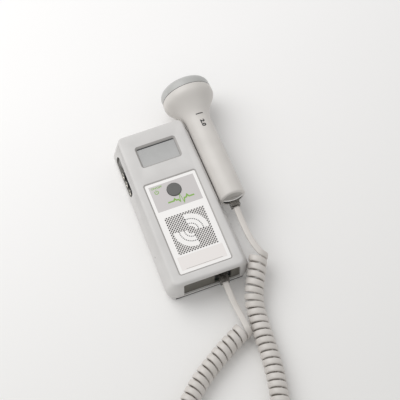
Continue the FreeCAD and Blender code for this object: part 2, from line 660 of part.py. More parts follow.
def battery_bay_walls():
    x = BAY_HALF_WIDTH + BAY_WALL
    return box(BAY_X - x, BAY_X + x, BAY_Y_LOW - BAY_WALL, BAY_Y_HIGH + BAY_WALL, DOOR_THICKNESS + DOOR_GAP,
               BAY_ROOF + BAY_WALL)


def battery_bay_space():
    return box(BAY_X - BAY_HALF_WIDTH, BAY_X + BAY_HALF_WIDTH, BAY_Y_LOW, BAY_Y_HIGH, -OVER, BAY_ROOF)


def rear_lip():
    """Tongue that stands inside the front shell, broken where the front shell's side frame comes down."""
    low = PARTING_HEIGHT - LIP_HEIGHT
    inner_inset = WALL + LIP_CLEARANCE + LIP_THICKNESS
    lip = Part.Face(case_outline(WALL / 2, WALL / 2, low)).extrude(Vec(0, 0, 2 * LIP_HEIGHT))
    lip = lip.cut(Part.Face(case_outline(inner_inset, inner_inset, low)).extrude(Vec(0, 0, 2 * LIP_HEIGHT)))
    below = box(-CASE_LENGTH, CASE_LENGTH, -CASE_LENGTH, CASE_LENGTH, 0, PARTING_HEIGHT)
    lip = lip.common(front_block(WALL + LIP_CLEARANCE).fuse(below))
    grow = SIDE_FRAME_WALL + PANEL_CLEARANCE + SIDE_FRAME_LEDGE + LIP_CLEARANCE
    gap = box(-HALF_WIDTH_CORD_END, PANEL_BACK_X + LIP_CLEARANCE, SIDE_Y_LOW - grow, SIDE_Y_HIGH + grow,
              PARTING_HEIGHT, CASE_HEIGHT)
    return lip.cut(gap)


def rear_bosses():
    boss = CASE_TOWER_RADIUS + CASE_BOSS_WIDER
    bosses = [upright(boss, x, y, CAVITY_FLOOR - OVER, CASE_TOWER_FOOT) for x, y in CASE_SCREW_PLACES]
    holes = []
    for x, y in CASE_SCREW_PLACES:
        holes.append(upright(CASE_SCREW_RADIUS + SCREW_HOLE_CLEARANCE, x, y, -OVER, CASE_TOWER_FOOT + OVER))
        holes.append(upright(CASE_SCREW_HEAD_RADIUS + SCREW_HOLE_CLEARANCE, x, y, -OVER,
                             CASE_SCREW_SEAT + CASE_SCREW_HEAD_HEIGHT))
    return bosses, holes


def holder_screw_holes():
    holes = []
    for y in HOLDER_SCREW_Y:
        start = Vec(MEAN_HALF_WIDTH - WALL - HOLDER_HOLE_REACH, y, HOLDER_SCREW_Z)
        length = WALL + 2 * HOLDER_HOLE_REACH
        holes.append(cylinder(HOLDER_SCREW_RADIUS + SCREW_HOLE_CLEARANCE, start, X_AXIS, length))
    return holes


def jack_board_legs():
    x_low, x_high, y_low, y_high = jack_board_plan()
    r = JACK_BOARD_LEG_RADIUS
    top = JACK_BODY_BOTTOM - JACK_BOARD_THICKNESS
    return [upright(r, x, y, CAVITY_FLOOR - OVER, top)
            for x in (x_low + r, x_high - r) for y in (y_low + r, y_high - r)]


def rear_shell():
    shell = rear_block(0).cut(rear_block(WALL))
    bosses, holes = rear_bosses()
    shell = shell.fuse([rear_lip(), battery_bay_walls()] + bosses + jack_board_legs())
    slot_low = DOOR_THICKNESS - DOOR_TONGUE_THICKNESS - DOOR_GAP / 2
    slot_high = DOOR_THICKNESS + DOOR_GAP / 2
    cuts = [battery_bay_space(), door_body(0, BAY_Y_LOW, slot_high),
            door_tongue(0, BAY_Y_LOW, slot_low, slot_high),
            end_opening(-HALF_LENGTH - OVER, END_PANEL_FACE_Y, 0), end_panel_block(PANEL_CLEARANCE)]
    return shell.cut(cuts + holes + holder_screw_holes())


def battery_cells():
    cells = []
    for x, way in zip(CELL_X, (1, -1)):
        middle = (BAY_Y_LOW + BAY_Y_HIGH) / 2
        start = Vec(x, middle - way * CELL_LENGTH / 2, CELL_Z)
        can = CELL_LENGTH - CELL_NUB_LENGTH
        profile = [(0, 0), (0, CELL_RADIUS), (can, CELL_RADIUS), (can, CELL_NUB_RADIUS),
                   (CELL_LENGTH, CELL_NUB_RADIUS), (CELL_LENGTH, 0)]
        cells.append(revolved(profile, start, Y_AXIS * way))
    return Part.makeCompound(cells)


def battery_terminals():
    """A flat plate at each end of each cell."""
    half = TERMINAL_SIZE / 2
    plates = []
    for x in CELL_X:
        for y in (BAY_Y_LOW, BAY_Y_HIGH - TERMINAL_THICKNESS):
            plates.append(box(x - half, x + half, y, y + TERMINAL_THICKNESS, CELL_Z - half, CELL_Z + half))
    return Part.makeCompound(plates)


def battery_springs():
    """Conical springs as thin cones between the terminal plate and each cell's flat end."""
    springs = []
    wire = SPRING_WIRE
    wide = TERMINAL_SIZE / 2 - wire
    narrow = CELL_NUB_RADIUS
    ends = (BAY_Y_LOW + TERMINAL_THICKNESS, BAY_Y_HIGH - TERMINAL_THICKNESS)
    for x, end, way in zip(CELL_X, ends, (1, -1)):
        profile = [(0, wide - wire), (0, wide), (SPRING_LENGTH, narrow), (SPRING_LENGTH, narrow - wire)]
        springs.append(revolved(profile, Vec(x, end, CELL_Z), Y_AXIS * way))
    return Part.makeCompound(springs)


# ---- Front pieces ----
def lcd_window():
    lens = window_opening(-LENS_CLEARANCE, LENS_SEAT - OVER, WINDOW_FLOOR - LENS_CLEARANCE)
    return lens.fuse(window_opening(LENS_FLANGE, LENS_BACK, LENS_SEAT))


def lcd_frame():
    top = LENS_BACK - LENS_CLEARANCE
    x = LCD_GLASS_WIDTH / 2 + LCD_FRAME_CLEARANCE
    y = LCD_GLASS_LENGTH / 2 + LCD_FRAME_CLEARANCE
    wall = LCD_FRAME_WALL
    outer = box(-x - wall, x + wall, WINDOW_Y - y - wall, WINDOW_Y + y + wall, BOARD_TOP, top)
    return outer.cut(box(-x, x, WINDOW_Y - y, WINDOW_Y + y, BOARD_TOP, top))


def lcd_glass():
    x = LCD_GLASS_WIDTH / 2
    y = LCD_GLASS_LENGTH / 2
    low = BOARD_TOP + LCD_STRIP_HEIGHT
    return box(-x, x, WINDOW_Y - y, WINDOW_Y + y, low, low + LCD_GLASS_THICKNESS)


def lcd_strips():
    x = LCD_GLASS_WIDTH / 2
    y = LCD_GLASS_LENGTH / 2
    top = BOARD_TOP + LCD_STRIP_HEIGHT
    low = box(-x, x, WINDOW_Y - y, WINDOW_Y - y + LCD_STRIP_WIDTH, BOARD_TOP, top)
    high = box(-x, x, WINDOW_Y + y - LCD_STRIP_WIDTH, WINDOW_Y + y, BOARD_TOP, top)
    return Part.makeCompound([low, high])


def power_button():
    stem = upright(BUTTON_RADIUS, 0, BUTTON_Y, BUTTON_BOTTOM, BUTTON_TOP)
    stem = stem.makeFillet(BUTTON_EDGE_RADIUS, top_edges(stem, BUTTON_TOP))
    flange = upright(BUTTON_RADIUS + BUTTON_FLANGE, 0, BUTTON_Y, BUTTON_BOTTOM, BUTTON_FLANGE_TOP)
    return stem.fuse(flange)


def switch_body():
    half = SWITCH_SIZE / 2
    body = box(-half, half, BUTTON_Y - half, BUTTON_Y + half, BOARD_TOP, SWITCH_TOP)
    floor = PLUNGER_FOOT - BUTTON_TRAVEL - PLUNGER_ROOM
    return body.cut(upright(PLUNGER_RADIUS + SHAFT_CLEARANCE, 0, BUTTON_Y, floor, SWITCH_TOP))


def switch_plunger():
    return upright(PLUNGER_RADIUS, 0, BUTTON_Y, PLUNGER_FOOT, BUTTON_BOTTOM)


# ---- Speaker ----
def speaker_gasket():
    base = Vec(0, SPEAKER_Y, GASKET_BOTTOM)
    return tube(SPEAKER_RADIUS, SPEAKER_RADIUS - GASKET_WIDTH, base, Z_AXIS, GASKET_THICKNESS)


def speaker_frame():
    top = GASKET_BOTTOM
    rim = SPEAKER_RADIUS
    lip = rim - GASKET_WIDTH
    flange = BASKET_FLANGE_THICKNESS
    foot = BASKET_FOOT_RADIUS
    floor = BASKET_WALL - BASKET_DEPTH
    profile = [(0, lip), (0, rim), (-flange, rim), (-flange, lip + BASKET_WALL), (-BASKET_DEPTH, foot),
               (-BASKET_DEPTH, CONE_THROAT_RADIUS), (floor, CONE_THROAT_RADIUS), (floor, foot - BASKET_WALL),
               (-flange, lip)]
    return revolved(profile, Vec(0, SPEAKER_Y, top), Z_AXIS)


def speaker_cone():
    rim = SPEAKER_RADIUS - GASKET_WIDTH - LENS_CLEARANCE
    throat = CONE_THROAT_RADIUS - LENS_CLEARANCE
    t = CONE_THICKNESS
    profile = [(0, rim), (-t, rim), (-CONE_DEPTH, throat), (-CONE_DEPTH, 0), (-CONE_DEPTH + t, 0),
               (-CONE_DEPTH + t, throat)]
    return revolved(profile, Vec(0, SPEAKER_Y, GASKET_BOTTOM), Z_AXIS)


def speaker_magnet():
    top = GASKET_BOTTOM - BASKET_DEPTH
    return upright(MAGNET_RADIUS, 0, SPEAKER_Y, top - MAGNET_HEIGHT, top)


# ---- Main board and what stands on it ----
def main_board():
    board = rounded_plate(-BOARD_HALF_WIDTH, BOARD_HALF_WIDTH, BOARD_Y_LOW, BOARD_Y_HIGH, BOARD_CORNER,
                          BOARD_BOTTOM, BOARD_TOP)
    low = BOARD_BOTTOM - OVER
    high = BOARD_TOP + OVER
    hole = BOARD_SCREW_RADIUS + SCREW_HOLE_CLEARANCE
    holes = [upright(hole, x, y, low, high) for x, y in BOARD_SCREW_PLACES]
    shaft = upright(WHEEL_TURN_RADIUS + SHAFT_CLEARANCE, WHEEL_X, WHEEL_Y, low, high)
    seat = upright(SPEAKER_RADIUS + BOARD_SPEAKER_GAP, 0, SPEAKER_Y, 0, CASE_HEIGHT)
    return board.cut(holes + [shaft, seat])


def on_board(place, width, length, height):
    x, y = place
    return box(x - width / 2, x + width / 2, y - length / 2, y + length / 2, BOARD_TOP, BOARD_TOP + height)


def processor_chip():
    return on_board(PROCESSOR_PLACE, PROCESSOR_SIZE, PROCESSOR_SIZE, PROCESSOR_HEIGHT)


def amplifier_chip():
    return on_board(AMPLIFIER_PLACE, AMPLIFIER_WIDTH, AMPLIFIER_LENGTH, AMPLIFIER_HEIGHT)


def crystal_can():
    can = on_board(CRYSTAL_PLACE, CRYSTAL_LENGTH, CRYSTAL_WIDTH, CRYSTAL_HEIGHT)
    uprights = [edge for edge in can.Edges if abs(edge.Vertexes[0].Z - edge.Vertexes[1].Z) > SAME_LEVEL]
    return can.makeFillet(CRYSTAL_CORNER, uprights)


def capacitors():
    return Part.makeCompound([upright(CAPACITOR_RADIUS, x, y, BOARD_TOP, BOARD_TOP + CAPACITOR_HEIGHT)
                              for x in CAPACITOR_X for y in CAPACITOR_Y])


# ---- Side sockets and volume wheel ----
def panel_block(grow, x_high):
    """The jack panel's plate, or the seat that the front shell keeps for it."""
    margin = SIDE_FRAME_WALL + grow
    half = SIDE_OPENING / 2 + margin
    return box(PANEL_FACE_X, x_high, SIDE_Y_LOW - margin, SIDE_Y_HIGH + margin,
               SIDE_HEIGHT - half, SIDE_HEIGHT + half)


def jack_panel():
    plate = panel_block(0, PANEL_BACK_X)
    necks = [cylinder(JACK_NECK_RADIUS + PANEL_CLEARANCE, Vec(PANEL_FACE_X - OVER, y, SIDE_HEIGHT), X_AXIS,
                      PANEL_THICKNESS + 2 * OVER) for y in JACK_Y]
    reach = math.sqrt(WHEEL_RADIUS ** 2 - (WHEEL_X - PANEL_BACK_X) ** 2) + WHEEL_GAP
    slot = box(PANEL_FACE_X - OVER, PANEL_BACK_X + OVER, WHEEL_Y - reach, WHEEL_Y + reach,
               WHEEL_LOW - WHEEL_GAP, WHEEL_HIGH + WHEEL_GAP)
    return plate.cut(necks + [slot])


def socket(y, bore_radius, bore_depth):
    """Jack with a round neck in the panel and a body that hangs from the board."""
    half = JACK_BODY_WIDTH / 2
    body = box(PANEL_BACK_X, PANEL_BACK_X + JACK_BODY_DEPTH, y - half, y + half, SIDE_HEIGHT - JACK_BODY_DROP,
               BOARD_BOTTOM)
    face = PANEL_FACE_X - JACK_NECK_PROUD
    neck = cylinder(JACK_NECK_RADIUS, Vec(face, y, SIDE_HEIGHT), X_AXIS, PANEL_BACK_X - face + OVER)
    bore = cylinder(bore_radius, Vec(face - OVER, y, SIDE_HEIGHT), X_AXIS, bore_depth + OVER)
    return body.fuse(neck).cut(bore)


def charger_pin():
    start = PANEL_FACE_X - JACK_NECK_PROUD + CHARGER_PIN_SUNK
    length = CHARGER_BORE_DEPTH - CHARGER_PIN_SUNK
    return cylinder(CHARGER_PIN_RADIUS, Vec(start, JACK_Y[0], SIDE_HEIGHT), X_AXIS, length)


def volume_pot():
    body = upright(POT_RADIUS, WHEEL_X, WHEEL_Y, WHEEL_HIGH + WHEEL_GAP / 2, BOARD_BOTTOM)
    return body.cut(upright(WHEEL_TURN_RADIUS + SHAFT_CLEARANCE, WHEEL_X, WHEEL_Y, 0, BOARD_BOTTOM + OVER))


def volume_shaft():
    shaft = upright(WHEEL_TURN_RADIUS, WHEEL_X, WHEEL_Y, WHEEL_LOW, BOARD_TOP)
    return shaft.cut(upright(WHEEL_SCREW_RADIUS, WHEEL_X, WHEEL_Y, 0, WHEEL_HIGH))


def volume_wheel():
    """Thumbwheel with a ribbed rim."""
    points = []
    for i in range(2 * WHEEL_RIBS):
        angle = math.pi * i / WHEEL_RIBS
        r = WHEEL_RADIUS if i % 2 else WHEEL_RADIUS - WHEEL_RIB_DEPTH
        points.append(Vec(WHEEL_X + r * math.cos(angle), WHEEL_Y + r * math.sin(angle), WHEEL_LOW))
    rim = Part.Face(Part.makePolygon(points + [points[0]])).extrude(Vec(0, 0, WHEEL_THICKNESS))
    return rim.cut(upright(WHEEL_TURN_RADIUS, WHEEL_X, WHEEL_Y, 0, CASE_HEIGHT))


def wheel_screw():
    head = upright(WHEEL_SCREW_HEAD_RADIUS, WHEEL_X, WHEEL_Y, WHEEL_LOW - WHEEL_SCREW_HEAD_HEIGHT, WHEEL_LOW)
    return head.fuse(upright(WHEEL_SCREW_RADIUS, WHEEL_X, WHEEL_Y, WHEEL_LOW - OVER, WHEEL_HIGH))


# ---- Cord end of the unit ----
def end_panel_block(grow):
    """The panel behind the opening in the cord end, or the seat that the shells keep for it."""
    margin = END_PANEL_MARGIN
    return end_opening(END_PANEL_FACE_Y, END_PANEL_FACE_Y + END_PANEL_THICKNESS + grow, margin + grow)


def end_panel():
    half = MODULAR_JACK_WIDTH / 2 + PANEL_CLEARANCE
    high = MODULAR_JACK_HEIGHT / 2 + PANEL_CLEARANCE
    back = END_PANEL_FACE_Y + END_PANEL_THICKNESS + OVER
    opening = box(PLUG_X - half, PLUG_X + half, END_PANEL_FACE_Y - OVER, back, PLUG_Z - high, PLUG_Z + high)
    return end_panel_block(0).cut(opening)


def plug_form(grow, back_y, front_y):
    """Body and latch of a modular plug that points to +Y, at the unit's socket; the latch hangs below."""
    half = PLUG_WIDTH / 2 + grow
    high = PLUG_HEIGHT / 2 + grow
    body = box(-half, half, back_y, front_y + grow, -high, high)
    latch_low = -PLUG_HEIGHT / 2 - PLUG_LATCH_GAP - PLUG_LATCH_THICKNESS - grow
    latch_half = PLUG_LATCH_WIDTH / 2 + grow
    return body, latch_half, latch_low


def modular_plug():
    """Plug at the origin: its back face at Y 0 and its nose at PLUG_LENGTH."""
    body, latch_half, latch_low = plug_form(0, 0, PLUG_LENGTH)
    top = latch_low + PLUG_LATCH_THICKNESS
    end = PLUG_LENGTH - PLUG_LATCH_END
    latch = box(-latch_half, latch_half, PLUG_LATCH_START, end, latch_low, top)
    root = box(-latch_half, latch_half, end - PLUG_LATCH_ROOT, end, top - OVER, -PLUG_HEIGHT / 2 + OVER)
    plug = body.fuse([latch, root])
    half = LEAD_WIDTH / 2 + LEAD_POCKET_CLEARANCE
    high = LEAD_THICKNESS / 2 + LEAD_POCKET_CLEARANCE
    pocket = box(-half, half, -OVER, LEAD_POCKET_DEPTH, -high, high)
    return plug.cut([pocket] + plug_blades(PLUG_HEIGHT / 2 + OVER))


def pin_places():
    first = -(PLUG_PIN_COUNT - 1) / 2
    return [(first + i) * PLUG_PIN_PITCH for i in range(PLUG_PIN_COUNT)]


def plug_blades(top):
    half = PLUG_PIN_WIDTH / 2
    end = PLUG_LENGTH - PLUG_PIN_FROM_NOSE
    low = PLUG_HEIGHT / 2 - PLUG_PIN_HEIGHT
    return [box(x - half, x + half, end - PLUG_PIN_LENGTH, end, low, top) for x in pin_places()]


def plug_pins():
    return Part.makeCompound(plug_blades(PLUG_HEIGHT / 2 - PLUG_PIN_SUNK))


def modular_jack(body, depth, plug_inside):
    """Body with a plug's room in it: its face at Y 0, the plug's axis on Y, its nose plug_inside deep."""
    cavity, latch_half, latch_low = plug_form(MODULAR_CAVITY_CLEARANCE, -OVER, plug_inside)
    latch_way = box(-latch_half, latch_half, -OVER, plug_inside + MODULAR_CAVITY_CLEARANCE, latch_low, 0)
    half = JACK_WIRE_RADIUS + JACK_WIRE_GAP
    top = PLUG_HEIGHT / 2 + JACK_WIRE_ROOM
    wires = [box(x - half, x + half, JACK_WIRE_START, depth - JACK_BACK_WALL, 0, top) for x in pin_places()]
    return body.cut([cavity, latch_way] + wires)


def jack_contacts(depth):
    """Four wires in their slots in the roof of a jack's cavity."""
    z = PLUG_HEIGHT / 2 + JACK_WIRE_HEIGHT
    start = JACK_WIRE_START + JACK_WIRE_END_GAP
    length = depth - JACK_BACK_WALL - JACK_WIRE_END_GAP - start
    return Part.makeCompound([cylinder(JACK_WIRE_RADIUS, Vec(x, start, z), Y_AXIS, length)
                              for x in pin_places()])


def unit_jack_body():
    half = MODULAR_JACK_WIDTH / 2
    high = MODULAR_JACK_HEIGHT / 2
    return box(-half, half, 0, MODULAR_JACK_DEPTH, -high, high)


def at_unit_jack(shape, back_y):
    shape = shape.copy()
    shape.translate(Vec(PLUG_X, back_y, PLUG_Z))
    return shape


def jack_board_plan():
    half = MODULAR_JACK_WIDTH / 2
    return (PLUG_X - half - JACK_BOARD_MARGIN / 2, PLUG_X + half, JACK_BODY_Y,
            JACK_BODY_Y + MODULAR_JACK_DEPTH + JACK_BOARD_MARGIN)


def jack_board():
    x_low, x_high, y_low, y_high = jack_board_plan()
    top = JACK_BODY_BOTTOM
    return box(x_low, x_high, y_low, y_high, top - JACK_BOARD_THICKNESS, top)


# ---- Fasteners ----
def screw(radius, head_radius, head_height, length, head_start, axis):
    """Pan-head screw with a cross recess; the head's outer face is at head_start."""
    body = cylinder(head_radius, head_start, axis, head_height)
    body = body.fuse(cylinder(radius, head_start, axis, head_height + length))
    span = head_radius * CROSS_SPAN
    slot = head_radius * CROSS_WIDTH
    depth = head_height * CROSS_DEPTH
    bars = [box(-span / 2, span / 2, -slot / 2, slot / 2, -OVER, depth),
            box(-slot / 2, slot / 2, -span / 2, span / 2, -OVER, depth)]
    turn = FreeCAD.Rotation(Z_AXIS, axis)
    for bar in bars:
        bar.Placement = FreeCAD.Placement(head_start, turn).multiply(bar.Placement)
    return body.cut(bars)


def case_screws():
    radius = CASE_SCREW_RADIUS - THREAD_CLEARANCE
    length = CASE_SCREW_LENGTH - CASE_SCREW_SEAT - OVER
    return Part.makeCompound([screw(radius, CASE_SCREW_HEAD_RADIUS, CASE_SCREW_HEAD_HEIGHT, length,
                                    Vec(x, y, CASE_SCREW_SEAT), Z_AXIS) for x, y in CASE_SCREW_PLACES])


def board_screws():
    start = BOARD_BOTTOM - BOARD_SCREW_HEAD_HEIGHT
    radius = BOARD_SCREW_RADIUS - THREAD_CLEARANCE
    return Part.makeCompound([screw(radius, BOARD_SCREW_HEAD_RADIUS, BOARD_SCREW_HEAD_HEIGHT,
                                    BOARD_SCREW_LENGTH - OVER, Vec(x, y, start), Z_AXIS)
                              for x, y in BOARD_SCREW_PLACES])


# ---- Probe holder ----
def sector_ring(inner, outer, start_angle, end_angle, y_low, y_high):
    """Part of a ring round the probe's axis between two angles, as long as the given stretch."""
    ring = tube(outer, inner, on_probe(0, y_low - PROBE_FOOT_Y, 0), PROBE_AXIS, y_high - y_low)
    reach = 3 * outer
    points = [(0, 0)]
    steps = 4
    for i in range(steps + 1):
        angle = math.radians(start_angle + (end_angle - start_angle) * i / steps)
        points.append((reach * math.cos(angle), reach * math.sin(angle)))
    corners = [on_probe(x, y_low - PROBE_FOOT_Y - OVER, z) for x, z in points]
    wedge = Part.Face(Part.makePolygon(corners + [corners[0]]))
    return ring.common(wedge.extrude(PROBE_AXIS * (y_high - y_low + 2 * OVER)))


def side_box(out_low, out_high, y_low, y_high, z_low, z_high):
    """Box beside the right wall; out counts from the widest line, which leans with the case's taper."""
    block = box(out_low, out_high, y_low, y_high, z_low, z_high)
    block.rotate(Vec(0, 0, 0), Z_AXIS, math.degrees(TAPER))
    block.translate(Vec(MEAN_HALF_WIDTH, 0, 0))
    return block


def probe_holder():
    """Two hooks under the handle on a plate that is screwed to the rear shell's side."""
    inner = PROBE_RADIUS + HOLDER_CLEARANCE
    outer = inner + HOLDER_THICKNESS
    half = HOLDER_ARM_LENGTH / 2
    handle_room = cylinder(inner, on_probe(0, -PROBE_HANDLE_LENGTH, 0), PROBE_AXIS, 4 * PROBE_HANDLE_LENGTH)
    body = side_box(-WALL, HOLDER_PLATE_THICKNESS, HOLDER_Y_LOW, HOLDER_Y_HIGH, HOLDER_PLATE_LOW,
                    HOLDER_PLATE_HIGH)
    for y in HOLDER_SCREW_Y:
        hook = sector_ring(inner, outer, HOLDER_START_ANGLE, HOLDER_END_ANGLE, y - half, y + half)
        web = side_box(-WALL, HOLDER_PLATE_THICKNESS, y - half, y + half, HOLDER_PLATE_LOW, HOLDER_WEB_HIGH)
        body = body.fuse([hook, web.cut(handle_room)])
    screw_ends = [cylinder(HOLDER_SCREW_RADIUS, holder_screw_start(y), X_AXIS,
                           HOLDER_SCREW_HEAD_HEIGHT + HOLDER_SCREW_LENGTH) for y in HOLDER_SCREW_Y]
    return body.cut([front_block(0), rear_block(0)] + screw_ends)


def holder_screw_start(y):
    """Place of a screw head's outer face: against the inside of the rear shell's side wall."""
    leaned = REAR_LEAN * (PARTING_HEIGHT - HOLDER_SCREW_Z) / PARTING_HEIGHT
    inner_face = MEAN_HALF_WIDTH - y * math.tan(TAPER) - leaned - WALL
    return Vec(inner_face - HOLDER_SCREW_HEAD_HEIGHT - HOLDER_SCREW_GAP, y, HOLDER_SCREW_Z)


def holder_screws():
    return Part.makeCompound([screw(HOLDER_SCREW_RADIUS, HOLDER_SCREW_HEAD_RADIUS, HOLDER_SCREW_HEAD_HEIGHT,
                                    HOLDER_SCREW_LENGTH, holder_screw_start(y), X_AXIS)
                              for y in HOLDER_SCREW_Y])


# ---- Probe ----
def flare_points(start_radius, end_radius, start, length):
    """Concave sweep from the handle to the collar: slow at the handle, steep at the collar."""
    points = []
    steps = 8
    for i in range(1, steps + 1):
        t = i / steps
        points.append((start + length * math.sin(t * math.pi / 2), start_radius
                       + (end_radius - start_radius) * (1 - math.cos(t * math.pi / 2))))
    return points


def probe_handle():
    wall = PROBE_WALL
    outside = [(0, 0), (0, PROBE_RADIUS - PROBE_FOOT_CHAMFER), (PROBE_FOOT_CHAMFER, PROBE_RADIUS),
               (PROBE_FLARE_START, PROBE_RADIUS)]
    outside += flare_points(PROBE_RADIUS, PROBE_FLARE_RADIUS, PROBE_FLARE_START, PROBE_FLARE_LENGTH)
    outside += [(PROBE_COLLAR_START + PROBE_COLLAR_CHAMFER, PROBE_COLLAR_RADIUS),
                (PROBE_JOINT - PROBE_JOINT_CHAMFER, PROBE_COLLAR_RADIUS), (PROBE_JOINT, PROBE_JOINT_RADIUS),
                (PROBE_JOINT, 0)]
    inside = [(-OVER, 0), (-OVER, PROBE_RADIUS - wall), (PROBE_FLARE_START + wall, PROBE_RADIUS - wall)]
    inside += flare_points(PROBE_RADIUS - wall, PROBE_FLARE_RADIUS - wall, PROBE_FLARE_START + wall,
                           PROBE_FLARE_LENGTH - wall / 2)
    inside += [(PROBE_JOINT - PROBE_SPIGOT_LENGTH - OVER, PROBE_COLLAR_RADIUS - wall),
               (PROBE_JOINT + OVER, PROBE_COLLAR_RADIUS - wall), (PROBE_JOINT + OVER, 0)]
    return revolved(outside, PROBE_FOOT, PROBE_AXIS).cut(revolved(inside, PROBE_FOOT, PROBE_AXIS))


def probe_cap():
    rim = PROBE_JOINT_RADIUS
    edge = PROBE_CAP_EDGE
    spigot = PROBE_COLLAR_RADIUS - PROBE_WALL - PROBE_SPIGOT_CLEARANCE
    start = PROBE_JOINT
    foot = start - PROBE_SPIGOT_LENGTH
    outside = [(foot, 0), (foot, spigot), (start, spigot), (start, rim)]
    edge_steps = 6
    for i in range(edge_steps + 1):
        angle = math.pi / 2 * i / edge_steps
        outside.append((PROBE_RIM - edge + edge * math.sin(angle), rim - edge + edge * math.cos(angle)))
    crown_steps = 4
    face = rim - edge
    for i in range(1, crown_steps + 1):
        t = i / crown_steps
        outside.append((PROBE_RIM + PROBE_DOME * (1 - (1 - t) ** 2), face * (1 - t)))
    cap = revolved(outside, PROBE_FOOT, PROBE_AXIS)
    floor = PROBE_RIM - PROBE_WALL
    bore = spigot - PROBE_SPIGOT_WALL
    hollow = [(foot - OVER, 0), (foot - OVER, bore), (floor, bore), (floor, 0)]
    cap = cap.cut(revolved(hollow, PROBE_FOOT, PROBE_AXIS))
    groove = tube(spigot + OVER, spigot - SEAL_SECTION, on_probe(0, SEAL_ALONG, 0), PROBE_AXIS, SEAL_SECTION)
    return cap.cut(groove)


def probe_seal():
    outer = PROBE_COLLAR_RADIUS - PROBE_WALL - PROBE_SPIGOT_CLEARANCE
    return tube(outer, outer - SEAL_SECTION, on_probe(0, SEAL_ALONG, 0), PROBE_AXIS, SEAL_SECTION)


def probe_crystals():
    """Two half-round discs behind the cap's window: one sends, one listens."""
    start = PROBE_RIM - PROBE_WALL - CRYSTAL_DISC_THICKNESS
    disc = cylinder(CRYSTAL_DISC_RADIUS, on_probe(0, start, 0), PROBE_AXIS, CRYSTAL_DISC_THICKNESS)
    half = CRYSTAL_DISC_GAP / 2
    reach = CRYSTAL_DISC_RADIUS + OVER
    split = probe_box(-half, half, start - OVER, start + CRYSTAL_DISC_THICKNESS + OVER, -reach, reach)
    return disc.cut(split)


def probe_backing():
    end = PROBE_RIM - PROBE_WALL - CRYSTAL_DISC_THICKNESS
    start = on_probe(0, end - BACKING_THICKNESS, 0)
    return cylinder(CRYSTAL_DISC_RADIUS + BACKING_MARGIN, start, PROBE_AXIS, BACKING_THICKNESS)


def probe_board():
    half = PROBE_BOARD_WIDTH / 2
    return probe_box(-half, half, PROBE_BOARD_START, PROBE_BOARD_START + PROBE_BOARD_LENGTH,
                     -BOARD_THICKNESS / 2, BOARD_THICKNESS / 2)


def probe_chip():
    half = PROBE_CHIP_SIZE / 2
    middle = PROBE_BOARD_START + PROBE_BOARD_LENGTH / 2
    low = BOARD_THICKNESS / 2
    return probe_box(-half, half, middle - half, middle + half, low, low + PROBE_CHIP_HEIGHT)


def at_probe(shape, along):
    """Puts a plug or a jack in the handle's foot, below the probe's axis."""
    shape = shape.copy()
    shape.rotate(Vec(0, 0, 0), Z_AXIS, math.degrees(TAPER))
    shape.translate(on_probe(0, along, -PROBE_JACK_DROP))
    return shape


def probe_jack_body():
    """Jack's box with a flange that fills the lower half of the handle's mouth, before it is placed."""
    half = PROBE_JACK_WIDTH / 2
    high = PROBE_JACK_HEIGHT / 2
    radius = PROBE_RADIUS - PROBE_WALL - PROBE_END_CLEARANCE
    bore = cylinder(radius, Vec(0, 0, PROBE_JACK_DROP), Y_AXIS, PROBE_JACK_DEPTH)
    flange_top = PROBE_JACK_DROP + PROBE_END_EDGE - PROBE_END_CLEARANCE
    flange = box(-radius, radius, 0, PROBE_JACK_FLANGE, -2 * radius, flange_top)
    return box(-half, half, 0, PROBE_JACK_DEPTH, -high, high).fuse(flange).common(bore)


def probe_end_plate():
    """Plate that closes the upper half of the handle's foot, with a curved ledge over the plug."""
    radius = PROBE_RADIUS - PROBE_WALL - PROBE_END_CLEARANCE
    plate = cylinder(radius, on_probe(0, 0, 0), PROBE_AXIS, PROBE_END_LENGTH)
    plate = plate.cut(probe_box(-radius, radius, -OVER, PROBE_END_LENGTH + OVER, -radius, PROBE_END_EDGE))
    half = PROBE_BROW_HALF_WIDTH
    sweep = (half ** 2 + PROBE_BROW_REACH ** 2) / (2 * PROBE_BROW_REACH)
    brow_top = PROBE_END_EDGE + PROBE_BROW_THICKNESS
    brow = probe_box(-half, half, -PROBE_BROW_REACH, OVER, PROBE_END_EDGE, brow_top)
    front = on_probe(0, sweep - PROBE_BROW_REACH, PROBE_END_EDGE)
    round_front = cylinder(sweep, front, Z_AXIS, PROBE_BROW_THICKNESS)
    jack_half = PROBE_JACK_WIDTH / 2 + PROBE_END_CLEARANCE
    jack_top = PROBE_JACK_HEIGHT / 2 - PROBE_JACK_DROP + PROBE_END_CLEARANCE
    notch = probe_box(-jack_half, jack_half, PROBE_JACK_RECESS - PROBE_END_CLEARANCE, PROBE_END_LENGTH + OVER,
                      -radius, jack_top)
    return plate.cut(notch).fuse(brow.common(round_front))


